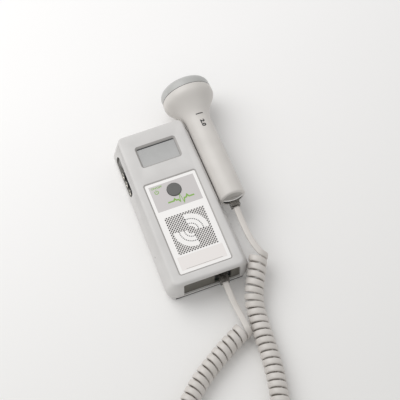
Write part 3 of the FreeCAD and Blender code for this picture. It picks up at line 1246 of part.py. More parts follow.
# ---- Cord ----
PROBE_PLUG_BACK = -PROBE_PLUG_PROUD
UNIT_LEAD_START = Vec(PLUG_X, PLUG_BACK_Y, PLUG_Z)
PROBE_LEAD_START = on_probe(0, PROBE_PLUG_BACK - LEAD_BODY_GAP, -PROBE_JACK_DROP)
UNIT_LEAD_ROUTE = [(11.4, -80.4, 12.7), (11.3, -91.4, 12.0), (12.2, -102.2, 12.3), (12.9, -110.9, 13.6),
                   (13.1, -117.2, 14.2)]
PROBE_LEAD_ROUTE = [(42.4, -28.2, 20.0), (42.3, -38.4, 20.2), (42.6, -48.4, 20.8), (43.8, -57.4, 21.4),
                    (45.6, -62.6, 21.2)]
COIL_REST = COIL_DIAMETER / 2 + COIL_LIFT
COIL_ROUTE = [(44.5, -63.4, 15.2), (35.8, -79.0, 12.8), (27.6, -95.3, 8.9), (25.0, -113.3, COIL_REST),
              (23.5, -132.0, COIL_REST), (22.0, -150.5, COIL_REST), (19.0, -168.5, COIL_REST),
              (14.4, -186.5, COIL_REST), (12.6, -213.5, COIL_REST), (11.5, -238.8, COIL_REST),
              (0.8, -259.3, COIL_REST), (-17.5, -273.3, COIL_REST), (-40.0, -278.3, COIL_REST),
              (-62.5, -273.3, COIL_REST), (-80.8, -259.3, COIL_REST), (-91.5, -238.8, COIL_REST),
              (-92.5, -215.7, COIL_REST), (-83.7, -194.4, COIL_REST), (-69.8, -176.6, COIL_REST),
              (-54.2, -161.2, COIL_REST), (-38.5, -145.8, COIL_REST), (-21.5, -134.3, COIL_REST),
              (-4.8, -124.2, COIL_REST), (11.0, -116.4, COIL_REST)]


def rounded_path(points, name):
    """Straight runs joined by tangent arcs, each as large as its two runs allow."""
    edges = []
    start = points[0]
    radii = []
    for i in range(1, len(points) - 1):
        here = points[i]
        back = points[i - 1] - here
        ahead = points[i + 1] - here
        run = min(back.Length, ahead.Length)
        back.normalize()
        ahead.normalize()
        half_turn = (math.pi - back.getAngle(ahead)) / 2
        reach = ARC_SHARE * run
        radius = reach / math.tan(half_turn)
        radii.append(round(radius, 1))
        middle = back + ahead
        middle.normalize()
        enter = here + back * reach
        leave = here + ahead * reach
        crown = here + middle * (radius / math.cos(half_turn) - radius)
        edges.append(Part.LineSegment(start, enter).toShape())
        edges.append(Part.Arc(enter, crown, leave).toShape())
        start = leave
    edges.append(Part.LineSegment(start, points[-1]).toShape())
    print(name, "radii", radii)
    return Part.Wire(edges)


def swept(path, profile, area, name):
    body = path.makePipeShell([profile], True, False)
    ratio = body.Volume / area / path.Length
    print(name, "length", round(path.Length, 1), "volume over section x length", round(ratio, 4))
    return body


def flat_section(centre, ahead):
    """Rectangle of the flat lead, square to the way it leaves."""
    across = ahead.cross(Z_AXIS)
    across.normalize()
    up = across.cross(ahead)
    up.normalize()
    w = across * (LEAD_WIDTH / 2)
    t = up * (LEAD_THICKNESS / 2)
    corners = [centre - w - t, centre + w - t, centre + w + t, centre - w + t]
    return Part.makePolygon(corners + [corners[0]])


def flat_lead(start, away, route, name):
    points = [start] + [Vec(*point) for point in route]
    path = rounded_path(points, name)
    return swept(path, flat_section(points[0], away), LEAD_WIDTH * LEAD_THICKNESS, name)


def unit_lead():
    return flat_lead(UNIT_LEAD_START + Y_AXIS * LEAD_POCKET_DEPTH, Y_AXIS * -1, UNIT_LEAD_ROUTE, "unit_lead")


def probe_lead():
    return flat_lead(PROBE_LEAD_START, PROBE_AXIS * -1, PROBE_LEAD_ROUTE, "probe_lead")


def cord_coil():
    points = [Vec(*point) for point in COIL_ROUTE]
    path = rounded_path(points, "cord_coil")
    ahead = points[1] - points[0]
    radius = COIL_DIAMETER / 2
    section = Part.Wire(Part.Circle(points[0], ahead, radius).toShape())
    return swept(path, section, math.pi * radius ** 2, "cord_coil")


# ---- All nodes ----
def main():
    plug = modular_plug()
    pins = plug_pins()
    unit_plug_inside = PLUG_BACK_Y + PLUG_LENGTH - JACK_BODY_Y
    probe_plug_inside = PROBE_PLUG_BACK + PLUG_LENGTH - PROBE_JACK_RECESS
    unit_jack = modular_jack(unit_jack_body(), MODULAR_JACK_DEPTH, unit_plug_inside)
    probe_jack = modular_jack(probe_jack_body(), PROBE_JACK_DEPTH, probe_plug_inside)
    nodes = {
        "front_shell": front_shell(),
        "rear_shell": rear_shell(),
        "battery_door": battery_door(),
        "battery_cells": battery_cells(),
        "battery_terminals": battery_terminals(),
        "battery_springs": battery_springs(),
        "front_label": front_label(),
        "lcd_window": lcd_window(),
        "lcd_frame": lcd_frame(),
        "lcd_glass": lcd_glass(),
        "lcd_strips": lcd_strips(),
        "power_button": power_button(),
        "switch_body": switch_body(),
        "switch_plunger": switch_plunger(),
        "speaker_gasket": speaker_gasket(),
        "speaker_frame": speaker_frame(),
        "speaker_cone": speaker_cone(),
        "speaker_magnet": speaker_magnet(),
        "main_board": main_board(),
        "processor_chip": processor_chip(),
        "amplifier_chip": amplifier_chip(),
        "crystal_can": crystal_can(),
        "capacitors": capacitors(),
        "jack_panel": jack_panel(),
        "charger_jack": socket(JACK_Y[0], CHARGER_BORE_RADIUS, CHARGER_BORE_DEPTH),
        "charger_pin": charger_pin(),
        "recorder_jack": socket(JACK_Y[1], AUDIO_BORE_RADIUS, AUDIO_BORE_DEPTH),
        "headphone_jack": socket(JACK_Y[2], AUDIO_BORE_RADIUS, AUDIO_BORE_DEPTH),
        "volume_pot": volume_pot(),
        "volume_shaft": volume_shaft(),
        "volume_wheel": volume_wheel(),
        "wheel_screw": wheel_screw(),
        "end_panel": end_panel(),
        "handset_jack": at_unit_jack(unit_jack, JACK_BODY_Y),
        "handset_contacts": at_unit_jack(jack_contacts(MODULAR_JACK_DEPTH), JACK_BODY_Y),
        "jack_board": jack_board(),
        "case_screws": case_screws(),
        "board_screws": board_screws(),
        "probe_holder": probe_holder(),
        "holder_screws": holder_screws(),
        "probe_handle": probe_handle(),
        "probe_cap": probe_cap(),
        "probe_seal": probe_seal(),
        "probe_crystals": probe_crystals(),
        "probe_backing": probe_backing(),
        "probe_board": probe_board(),
        "probe_chip": probe_chip(),
        "probe_jack": at_probe(probe_jack, PROBE_JACK_RECESS),
        "probe_jack_contacts": at_probe(jack_contacts(PROBE_JACK_DEPTH), PROBE_JACK_RECESS),
        "probe_end_plate": probe_end_plate(),
        "unit_plug": at_unit_jack(plug, PLUG_BACK_Y),
        "unit_plug_pins": at_unit_jack(pins, PLUG_BACK_Y),
        "probe_plug": at_probe(plug, PROBE_PLUG_BACK),
        "probe_plug_pins": at_probe(pins, PROBE_PLUG_BACK),
        "unit_lead": unit_lead(),
        "probe_lead": probe_lead(),
        "cord_coil": cord_coil(),
    }
    for name, shape in nodes.items():
        save(name, shape)


main()
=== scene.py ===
"""Hand-held fetal heart monitor with its probe and curly cord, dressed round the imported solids.

Objects are in metres, in the frame of the solids: the origin is the middle of the case's rear face, +X to the
probe's side, +Y to the display end, +Z out of the front face. Sizes are written in millimetres.
"""
import json
import math

import bmesh
import bpy
from mathutils import Matrix, Vector

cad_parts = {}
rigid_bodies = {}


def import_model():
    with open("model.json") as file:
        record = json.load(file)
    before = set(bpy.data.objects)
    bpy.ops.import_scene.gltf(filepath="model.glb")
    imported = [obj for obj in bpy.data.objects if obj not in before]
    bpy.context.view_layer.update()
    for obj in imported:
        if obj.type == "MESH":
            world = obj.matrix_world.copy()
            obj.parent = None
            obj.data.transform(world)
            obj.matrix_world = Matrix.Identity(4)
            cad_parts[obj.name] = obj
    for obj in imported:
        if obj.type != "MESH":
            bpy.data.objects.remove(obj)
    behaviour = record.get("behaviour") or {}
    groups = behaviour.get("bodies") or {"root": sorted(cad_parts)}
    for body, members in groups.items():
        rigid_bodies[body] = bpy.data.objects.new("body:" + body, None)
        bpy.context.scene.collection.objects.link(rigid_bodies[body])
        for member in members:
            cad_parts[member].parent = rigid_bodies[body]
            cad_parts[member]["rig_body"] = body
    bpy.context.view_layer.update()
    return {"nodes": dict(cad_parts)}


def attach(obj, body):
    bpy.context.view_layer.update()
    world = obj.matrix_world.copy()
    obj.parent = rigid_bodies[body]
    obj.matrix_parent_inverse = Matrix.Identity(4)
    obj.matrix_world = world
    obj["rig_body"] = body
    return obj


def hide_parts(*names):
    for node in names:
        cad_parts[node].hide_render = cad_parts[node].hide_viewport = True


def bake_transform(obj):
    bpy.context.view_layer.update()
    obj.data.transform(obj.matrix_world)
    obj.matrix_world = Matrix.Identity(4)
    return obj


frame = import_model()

MM = 0.001
UP = Vector((0, 0, 1))
NODES = frame["nodes"]


def in_scene(name, data):
    """A new object that the scene holds."""
    made = bpy.data.objects.new(name, data)
    bpy.context.collection.objects.link(made)
    return made


# ---- Camera ----
VIEW_CENTRE = Vector((16.1, -6.2, 27.5)) * MM
VIEW_AZIMUTH = math.radians(-20.84)          # of the view's right side, round +Z
VIEW_ELEVATION = math.radians(63.4)
VIEW_DISTANCE = 1398.0
VIEW_LENS = 156.0


def make_camera():
    right = Vector((math.cos(VIEW_AZIMUTH), math.sin(VIEW_AZIMUTH), 0))
    level = Vector((math.sin(VIEW_AZIMUTH), -math.cos(VIEW_AZIMUTH), 0))
    back = level * math.cos(VIEW_ELEVATION) + UP * math.sin(VIEW_ELEVATION)
    turn = Matrix((right, back.cross(right), back)).transposed().to_4x4()
    camera = in_scene("camera", bpy.data.cameras.new("camera"))
    camera.data.lens = VIEW_LENS
    camera.matrix_world = Matrix.Translation(VIEW_CENTRE + back * VIEW_DISTANCE * MM) @ turn
    bpy.context.scene.camera = camera


make_camera()
bpy.context.scene.view_settings.view_transform = "Standard"

# ---- Nodes and colours ----
MATH = "ShaderNodeMath"
VECTOR_MATH = "ShaderNodeVectorMath"
NOISE_LOW = 0.3                              # the part of a noise's values that a finish uses
NOISE_HIGH = 0.7


def linear(hex_colour):
    """sRGB hex colour as linear RGBA."""
    parts = [int(hex_colour[i:i + 2], 16) / 255 for i in (1, 3, 5)]
    return (*[p / 12.92 if p <= 0.04045 else ((p + 0.055) / 1.055) ** 2.4 for p in parts], 1.0)


def add(tree, kind, inputs=None, **settings):
    """A node with its settings. inputs maps a socket's name or number to a value, or to the socket that feeds
    it; a node there stands for the first output that it has in use."""
    made = tree.nodes.new(kind)
    for name, value in settings.items():
        setattr(made, name, value)
    for key, value in (inputs or {}).items():
        if isinstance(value, bpy.types.Node):
            value = next(output for output in value.outputs if output.enabled)
        if isinstance(value, bpy.types.NodeSocket):
            tree.links.new(value, made.inputs[key])
        else:
            made.inputs[key].default_value = value
    return made


def surface(name):
    """A new material with an empty tree; returns both, and the Object coordinates."""
    material = bpy.data.materials.new(name)
    material.use_nodes = True
    tree = material.node_tree
    tree.nodes.clear()
    return material, tree, add(tree, "ShaderNodeTexCoord").outputs["Object"]


def finished(material, **sockets):
    """The material with its Principled shader; a socket's name is written with _ for a space."""
    inputs = {key.replace("_", " "): value for key, value in sockets.items()}
    shader = add(material.node_tree, "ShaderNodeBsdfPrincipled", inputs)
    add(material.node_tree, "ShaderNodeOutputMaterial", {"Surface": shader})
    return material


def clouds(tree, place, size_mm, low=0.0, high=1.0, detail=2.0):
    """Soft patches about size_mm across: their height, and the same between low and high."""
    height = add(tree, "ShaderNodeTexNoise", {"Vector": place, "Scale": 1 / (size_mm * MM), "Detail": detail})
    return height, add(tree, "ShaderNodeMapRange", {0: height, 1: NOISE_LOW, 2: NOISE_HIGH, 3: low, 4: high})


def layered(tree, base, *layers):
    """A base colour with others laid over it in turn, each as far as its mask says."""
    colour = linear(base) if isinstance(base, str) else base
    for mask, over in layers:
        colour = add(tree, "ShaderNodeMix", {0: mask, 6: colour, 7: linear(over)}, data_type="RGBA")
    return colour


def inside(tree, *spans):
    """A mask that is 1 where each value lies between its two limits in millimetres."""
    mask = 1.0
    for value, low, high in spans:
        for operation, limit in (("GREATER_THAN", low), ("LESS_THAN", high)):
            within = add(tree, MATH, {0: value, 1: limit * MM}, operation=operation)
            mask = add(tree, MATH, {0: within, 1: mask}, operation="MULTIPLY")
    return mask


# ---- Finishes ----
TONE_PATCH = 17.0                            # soft clouds of tone on a moulding
METAL_LINE = 0.25                            # between the lines that a tool or a roll leaves
METAL_STAIN = 3.0
TRACK_PITCH = 6.0                            # of a board's copper
SLEEVE_BAND = 45.0                           # where a cell's coloured band starts
DISPLAY_SHADE_LOW = 38.0                           # ends of the painted shade that darkens the display to its top
DISPLAY_SHADE_HIGH = 57.0
SHADE_HALF_WIDTH = 25.0                      # of the painted shade on the seats of the window and the label
SHADE_TOP = 27.4
SHADE_SPAN = (-66.0, 62.0)


def moulded(name, colour, shade, grain_mm, depth_mm, roughness):
    """Injection-moulded plastic: two close tones in soft clouds, and the grain that the mould leaves."""
    material, tree, place = surface(name)
    _, cloud = clouds(tree, place, TONE_PATCH, detail=1.0)
    grain, gloss = clouds(tree, place, grain_mm, roughness - 0.06, roughness + 0.06, 3.0)
    bump = add(tree, "ShaderNodeBump", {"Height": grain, "Strength": 0.5, "Distance": depth_mm * MM})
    return finished(material, Base_Color=layered(tree, colour, (cloud, shade)), Roughness=gloss, Normal=bump)


def metal(name, colour, shade, roughness):
    """Turned or rolled metal: fine lines along one way, and a little tarnish."""
    material, tree, place = surface(name)
    drawn = add(tree, "ShaderNodeMapping", {"Vector": place, "Scale": (1.0, 1.0, 6.0)})
    lines, gloss = clouds(tree, drawn, METAL_LINE, roughness - 0.08, roughness + 0.1)
    _, stain = clouds(tree, place, METAL_STAIN)
    bump = add(tree, "ShaderNodeBump", {"Height": lines, "Strength": 0.2, "Distance": 0.01 * MM})
    return finished(material, Base_Color=layered(tree, colour, (stain, shade)), Metallic=1.0, Roughness=gloss,
                    Normal=bump)


def circuit_board():
    """Glass-epoxy board: green solder mask over copper tracks, a little glossy."""
    material, tree, place = surface("glass_epoxy_solder_mask_green")
    tracks = add(tree, "ShaderNodeTexBrick", {
        "Vector": place, "Scale": 1 / (TRACK_PITCH * MM), "Mortar Size": 0.04, "Mortar": linear("#2F7D4F"),
        "Color1": linear("#1F5B3A"), "Color2": linear("#246641")})
    _, grain = clouds(tree, place, 0.8, 0.0, 0.35)
    bump = add(tree, "ShaderNodeBump", {"Height": tracks.outputs[1], "Strength": 0.4, "Distance": 0.04 * MM})
    tone = layered(tree, tracks, (grain, "#184A2F"))
    return finished(material, Base_Color=tone, Roughness=0.35, Normal=bump)


def cell_sleeve():
    """Shrunk plastic sleeve of a battery cell: dark, with a copper-coloured band at the plus end."""
    material, tree, place = surface("shrink_sleeve_dark_copper")
    along = add(tree, "ShaderNodeSeparateXYZ", {0: place}).outputs[1]
    band = add(tree, MATH, {0: along, 1: SLEEVE_BAND * MM}, operation="GREATER_THAN")
    scuff, patches = clouds(tree, place, 2.0)
    bump = add(tree, "ShaderNodeBump", {"Height": scuff, "Strength": 0.2, "Distance": 0.02 * MM})
    tone = layered(tree, "#2B2C30", (patches, "#34353A"), (band, "#B4774A"))
    return finished(material, Base_Color=tone, Roughness=0.25, Normal=bump)


def clear_plastic():
    """Clear polycarbonate plug: see-through, smoky in soft patches, with sharp highlights."""
    material, tree, place = surface("polycarbonate_clear")
    _, smoke = clouds(tree, place, 2.5)
    _, gloss = clouds(tree, place, 2.5, 0.04, 0.14)
    return finished(material, Base_Color=layered(tree, "#A5A099", (smoke, "#5B5750")), Roughness=gloss,
                    IOR=1.58, Transmission_Weight=0.55, Alpha=0.95)


def display_lens():
    """Acrylic window over a grey reflective display: cool mid grey under a hard gloss, with a painted shade
    that darkens it to its top.
    """
    material, tree, place = surface("acrylic_window_grey")
    along = add(tree, "ShaderNodeSeparateXYZ", {0: place}).outputs[1]
    top_shade = add(tree, "ShaderNodeMapRange", {0: along, 1: DISPLAY_SHADE_LOW * MM, 2: DISPLAY_SHADE_HIGH * MM})
    _, haze = clouds(tree, place, 5.0, 0.0, 0.25)
    return finished(material, Base_Color=layered(tree, "#BBBBBA", (top_shade, "#ADADAC"), (haze, "#C2C2C1")),
                    Roughness=0.12, IOR=1.49)


def print_ink(name, colour, shade):
    """Screen-printed ink: flat and even, with the slightest unevenness in its film."""
    material, tree, place = surface(name)
    _, film = clouds(tree, place, 0.7)
    return finished(material, Base_Color=layered(tree, colour, (film, shade)), Roughness=0.5)


def woven_cloth():
    """Acoustic cloth behind the holes: black, with a fine open weave."""
    material, tree, place = surface("acoustic_cloth_black")
    weave = add(tree, "ShaderNodeTexChecker", {"Vector": place, "Scale": 1 / (0.3 * MM),
                                               "Color1": linear("#121214"), "Color2": linear("#1E1E20")})
    return finished(material, Base_Color=weave, Roughness=0.95)


def paint_bevel_shade(material):
    """Painted shade: below the face's level round the window and the label, the sloped edges take a deeper
    grey.
    """
    tree = material.node_tree
    base = next(node for node in tree.nodes if node.type == "BSDF_PRINCIPLED").inputs["Base Color"]
    place = add(tree, "ShaderNodeTexCoord").outputs["Object"]
    across, along, height = add(tree, "ShaderNodeSeparateXYZ", {0: place}).outputs
    mask = inside(tree, (across, -SHADE_HALF_WIDTH, SHADE_HALF_WIDTH), (along, *SHADE_SPAN),
                  (height, 0.0, SHADE_TOP))
    shaded_tone = layered(tree, base.links[0].from_socket, (mask, "#B4B1AE"))
    tree.links.new(shaded_tone.outputs[2], base)


# ABS moulded in a spark-eroded tool: a soft satin with a fine even grain, drawn about three times as coarse
# as the real 0.3 mm, so that it shows.
ERODED_WHITE = ("#D6D4D2", "#D0CECC", 0.9, 0.035, 0.5)
abs_case = moulded("abs_spark_eroded_warm_white", *ERODED_WHITE)
# The front shell's moulding, with painted shade on the seats of the window and the label.
abs_front_painted_shade = moulded("abs_spark_eroded_front", *ERODED_WHITE)
paint_bevel_shade(abs_front_painted_shade)
abs_door = moulded("abs_spark_eroded_door", "#D5D3D1", "#CFCDCA", 0.9, 0.035, 0.5)
# ABS from a smoother tool: silkier than the case, as a handle that is held.
abs_probe = moulded("abs_satin_handle_white", "#D7D3CE", "#D1CDC8", 1.3, 0.015, 0.42)
# The same plastic from a rougher tool on the probe's end plate, greyer there as a painted shade; and polished
# on trim, white there as a painted highlight.
abs_plate_painted_shade = moulded("abs_matt_end_plate", "#BDBAB5", "#B6B3AE", 0.8, 0.03, 0.6)
abs_lip_painted_highlight = moulded("abs_polished_lip_white", "#F3F1EE", "#EDEBE8", 1.0, 0.01, 0.35)
# Filled acoustic plastic: cooler and darker than ABS, smooth where it lies on the skin.
acoustic_cap = moulded("acoustic_plastic_cool_grey", "#BABAB8", "#B4B4B1", 1.1, 0.01, 0.36)
# Inset panels behind the cord's socket and the side sockets: dull ABS in two greys.
panel_dark = moulded("abs_dull_warm_grey", "#6A675F", "#625F58", 0.8, 0.03, 0.6)
panel_side = moulded("abs_dull_mid_grey", "#85837E", "#7C7A75", 0.8, 0.03, 0.58)
# Silicone-coated button cap: dark grey with a soft sheen.
button_grey = moulded("silicone_coated_dark_grey", "#686866", "#626260", 0.8, 0.02, 0.55)
# Ribbed thumbwheel in acetal: mid grey and waxy.
acetal_grey = moulded("acetal_mid_grey", "#9B9A97", "#92918E", 0.6, 0.015, 0.42)
# PBT of sockets and cast epoxy of chips: near black, with a dry bloom.
pbt_black = moulded("pbt_moulded_black", "#2A2A2B", "#232324", 0.6, 0.02, 0.5)
epoxy_black = moulded("epoxy_moulded_black", "#1F2022", "#27282A", 0.4, 0.012, 0.45)
# Foam and soft rubber: no shine at all.
foam_dark = moulded("polyurethane_foam_dark", "#3A3A3C", "#313133", 0.5, 0.15, 0.9)
contact_rubber = moulded("silicone_contact_strip", "#4B4D55", "#3F4149", 0.5, 0.02, 0.65)
# Speaker and crystals: fibrous brown-black paper, dry dark ferrite, smooth buff ceramic on brown cast epoxy.
cone_paper = moulded("pressed_paper_cone", "#2E2A26", "#38332E", 1.2, 0.06, 0.85)
ferrite = moulded("sintered_ferrite", "#3A3B3D", "#2F3032", 0.5, 0.03, 0.6)
ceramic = moulded("piezo_ceramic_buff", "#D9C79B", "#CDB98A", 0.7, 0.01, 0.4)
backing = moulded("epoxy_backing_brown", "#6B4E37", "#5E432F", 0.9, 0.03, 0.7)
# Vinyl jacket of the cord: warm light grey, a little greasy in its shine.
vinyl = moulded("vinyl_jacket_light_grey", "#D8D3CE", "#CFCAC4", 1.6, 0.02, 0.38)
# Nickel on brass for sockets, dull zinc on screws, gold on contacts, tinned steel for the battery's contacts.
nickel = metal("nickel_plated_brass", "#CFCBC2", "#B9B5AB", 0.24)
zinc = metal("zinc_plated_steel", "#BFC3C6", "#A9ADB0", 0.34)
brass = metal("gold_flashed_contact", "#D9B25E", "#C79D4B", 0.26)
steel = metal("tinned_spring_steel", "#C9C9C6", "#B4B4B0", 0.3)
# Inks of the label and the handle: even and dull, in plain shades.
green_ink = print_ink("screen_ink_leaf_green", "#8DB858", "#7FAD4A")
white_ink = print_ink("screen_ink_white", "#FAF8F6", "#F6F4F2")
dark_ink = print_ink("screen_ink_charcoal", "#343434", "#2C2C2C")
black_ink = print_ink("screen_ink_black", "#242424", "#1E1E1E")
circuit = circuit_board()
sleeve = cell_sleeve()
polycarbonate = clear_plastic()
acrylic = display_lens()
cloth = woven_cloth()

# ---- Building pieces ----
EDGE_ANGLE = 35                              # degrees past which an edge stays sharp
EDGE_SEGMENTS = 2
FLAT_ANGLE = 0.4                             # degrees up to which two faces of a solid are one


def piece(name, mesh, body, finish, replaces=()):
    """A shown piece: its mesh is already in place, it rides on a body when one is given, and takes the finish
    as its material.
    """
    made = in_scene(name, mesh)
    mesh.materials.clear()
    mesh.materials.append(finish)
    if replaces:
        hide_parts(*replaces)
    if body:
        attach(made, body)
    return made


def soften(made, bevel_mm=0.0, angle=EDGE_ANGLE):
    """Small rounded edges, and smooth shading up to an angle."""
    made.data.shade_smooth()
    made.data.set_sharp_from_angle(angle=math.radians(angle))
    if bevel_mm:
        bevel = made.modifiers.new("edges", "BEVEL")
        bevel.width = bevel_mm * MM
        bevel.segments = EDGE_SEGMENTS
        bevel.limit_method = "ANGLE"
        bevel.angle_limit = math.radians(angle)
        bevel.harden_normals = True
    return made


def dressed(node, finish, bevel_mm):
    """A smooth copy of a solid, with merged faces and softened edges, that stands for it."""
    mesh = NODES[node].data.copy()
    mesh.name = node + "_finished"
    work = bmesh.new()
    work.from_mesh(mesh)
    bmesh.ops.remove_doubles(work, verts=work.verts, dist=0.001 * MM)
    bmesh.ops.dissolve_limit(work, angle_limit=math.radians(FLAT_ANGLE), verts=work.verts, edges=work.edges)
    work.to_mesh(mesh)
    work.free()
    return soften(piece(mesh.name, mesh, NODES[node]["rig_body"], finish, (node,)), bevel_mm)


def painted(node, finish):
    """Gives a carried solid its material."""
    NODES[node].data.materials.clear()
    NODES[node].data.materials.append(finish)


def mesh_from(name, work):
    """The mesh of a closed shape, its faces turned outwards."""
    bmesh.ops.recalc_face_normals(work, faces=work.faces)
    mesh = bpy.data.meshes.new(name)
    work.to_mesh(mesh)
    work.free()
    return mesh


def as_mesh(holder):
    """The plain mesh that an object's curve, text or modifier makes; the object goes."""
    bpy.context.view_layer.update()
    mesh = bpy.data.meshes.new_from_object(holder.evaluated_get(bpy.context.evaluated_depsgraph_get()))
    bpy.data.objects.remove(holder)
    return mesh


def merged(name, meshes):
    work = bmesh.new()
    for mesh in meshes:
        work.from_mesh(mesh)
    return mesh_from(name, work)


def round_angles(count):
    """Angles at equal steps round a full turn."""
    return [2 * math.pi * k / count for k in range(count)]


def skin(name, rings, endless=False):
    """Closed shape through rings of places in metres. An endless one joins its last ring to its first, and
    any other has its two ends filled."""
    work = bmesh.new()
    rings = [[work.verts.new(place) for place in ring] for ring in rings]
    pairs = list(zip(rings, rings[1:]))
    if endless:
        pairs.append((rings[-1], rings[0]))
    else:
        work.faces.new(rings[0])
        work.faces.new(rings[-1][::-1])
    for here, after in pairs:
        for i in range(len(here)):
            j = (i + 1) % len(here)
            work.faces.new((here[i], here[j], after[j], after[i]))
    return mesh_from(name, work)


def slab(name, *spans):
    """A plate between two places along each axis, in millimetres."""
    work = bmesh.new()
    bmesh.ops.create_cube(work, size=1)
    for vert in work.verts:
        place = [(low + high) / 2 + share * (high - low) for share, (low, high) in zip(vert.co, spans)]
        vert.co = Vector(place) * MM
    return mesh_from(name, work)


# ---- Cord ----
UNIT_LEAD_ROUTE = [(11.5, -70.25, 12.8), (11.4, -80.4, 12.7), (11.3, -91.4, 12.0), (12.2, -102.2, 12.3),
                   (12.9, -110.9, 13.6), (13.1, -117.2, 14.2)]
PROBE_LEAD_ROUTE = [(42.63, -18.8, 19.8), (42.4, -28.2, 20.0), (42.3, -38.4, 20.2), (42.6, -48.4, 20.8),
                    (43.8, -57.4, 21.4), (45.6, -62.6, 21.2)]
COIL_REST = 7.75
COIL_ROUTE = [(44.5, -63.4, 15.2), (35.8, -79.0, 12.8), (27.6, -95.3, 8.9), (25.0, -113.3, COIL_REST),
              (23.5, -132.0, COIL_REST), (22.0, -150.5, COIL_REST), (19.0, -168.5, COIL_REST),
              (14.4, -186.5, COIL_REST), (12.6, -213.5, COIL_REST), (11.5, -238.8, COIL_REST),
              (0.8, -259.3, COIL_REST), (-17.5, -273.3, COIL_REST), (-40.0, -278.3, COIL_REST),
              (-62.5, -273.3, COIL_REST), (-80.8, -259.3, COIL_REST), (-91.5, -238.8, COIL_REST),
              (-92.5, -215.7, COIL_REST), (-83.7, -194.4, COIL_REST), (-69.8, -176.6, COIL_REST),
              (-54.2, -161.2, COIL_REST), (-38.5, -145.8, COIL_REST), (-21.5, -134.3, COIL_REST),
              (-4.8, -124.2, COIL_REST), (11.0, -116.4, COIL_REST)]
CORD_WIDTH = 5.0
CORD_THICKNESS = 2.5
CORD_CORNERS = 12                            # of its section
CORD_FULLNESS = 0.55                         # 1 would make the section an ellipse, 0 a box
TURN_RADIUS = 6.45                           # of the ribbon's middle, round the coil's middle line
TURN_PITCH = 6.3
STEPS_PER_TURN = 28
LEAD_STEP = 1.6
COIL_STEP = 1.0
JOIN_STEPS = 12
JOIN_REACH = 1.1                             # how far a bend runs on, as a share of its length


def smooth_line(route, step_mm):
    """Points a step apart on the NURBS line that a route's points control."""
    curve = bpy.data.curves.new("cord_route", "CURVE")
    curve.dimensions = "3D"
    curve.resolution_u = 32
    spline = curve.splines.new("NURBS")
    spline.points.add(len(route) - 1)
    for point, place in zip(spline.points, route):
        point.co = (*(Vector(place) * MM), 1)
    spline.order_u = 3
    spline.use_endpoint_u = True
    mesh = as_mesh(in_scene("cord_route", curve))
    points = [vert.co.copy() for vert in mesh.vertices]
    bpy.data.curves.remove(curve)
    bpy.data.meshes.remove(mesh)
    return evenly(points, step_mm * MM)


def evenly(points, step):
    """The same line with points at equal distances."""
    travelled = [0.0]
    for a, b in zip(points, points[1:]):
        travelled.append(travelled[-1] + (b - a).length)
    count = max(2, round(travelled[-1] / step))
    found, i = [], 0
    for k in range(count + 1):
        target = travelled[-1] * k / count
        while i < len(points) - 2 and travelled[i + 1] < target:
            i += 1
        share = (target - travelled[i]) / max(travelled[i + 1] - travelled[i], 1e-12)
        found.append(points[i].lerp(points[i + 1], min(1.0, share)))
    return found


def directions(points):
    ends = [points[0], *points, points[-1]]
    return [(after - before).normalized() for before, after in zip(ends, ends[2:])]


def helix(middle):
    """Turns round the coil's middle line, from the unit's end: (place, outward direction) pairs."""
    tangents = directions(middle)
    length = sum((b - a).length for a, b in zip(middle, middle[1:]))
    turns = round(length / (TURN_PITCH * MM) - 0.5) + 0.5
    count = round(turns * STEPS_PER_TURN)
    found = []
    for k in range(count + 1):
        at = (len(middle) - 1) * k / count
        i = min(int(at), len(middle) - 2)
        centre = middle[i].lerp(middle[i + 1], at - i)
        tangent = tangents[i].lerp(tangents[i + 1], at - i).normalized()
        side = UP.cross(tangent).normalized()
        top = tangent.cross(side)
        angle = -2 * math.pi * turns * k / count
        outward = side * math.cos(angle) + top * math.sin(angle)
        found.append((centre + outward * TURN_RADIUS * MM, outward))
    return found


def joined(before, after):
    """The bend between two stretches of ribbon: it leaves and arrives in their directions, and its flat side
    turns over from one to the other."""
    (start, start_face), (end, end_face) = before[-1], after[0]
    start_way = (start - before[-2][0]).normalized()
    end_way = (after[1][0] - end).normalized()
    reach = (end - start).length * JOIN_REACH
    found = []
    for k in range(1, JOIN_STEPS):
        t = k / JOIN_STEPS
        place = (start * (2 * t ** 3 - 3 * t ** 2 + 1) + start_way * reach * (t ** 3 - 2 * t ** 2 + t)
                 + end * (3 * t ** 2 - 2 * t ** 3) + end_way * reach * (t ** 3 - t ** 2))
        found.append((place, start_face.lerp(end_face, t * t * (3 - 2 * t))))
    return found


def cord_line():
    """The whole ribbon's middle line with the direction that its flat side faces."""
    unit_lead = [(place, UP) for place in smooth_line(UNIT_LEAD_ROUTE, LEAD_STEP)]
    probe_lead = [(place, UP) for place in smooth_line(PROBE_LEAD_ROUTE, LEAD_STEP)[::-1]]
    turns = helix(smooth_line(COIL_ROUTE[::-1], COIL_STEP))
    line = [*unit_lead, *joined(unit_lead, turns), *turns, *joined(turns, probe_lead), *probe_lead]
    points = [place for place, _ in line]
    ways = directions(points)
    return points, [(face - way * face.dot(way)).normalized() for (_, face), way in zip(line, ways)]


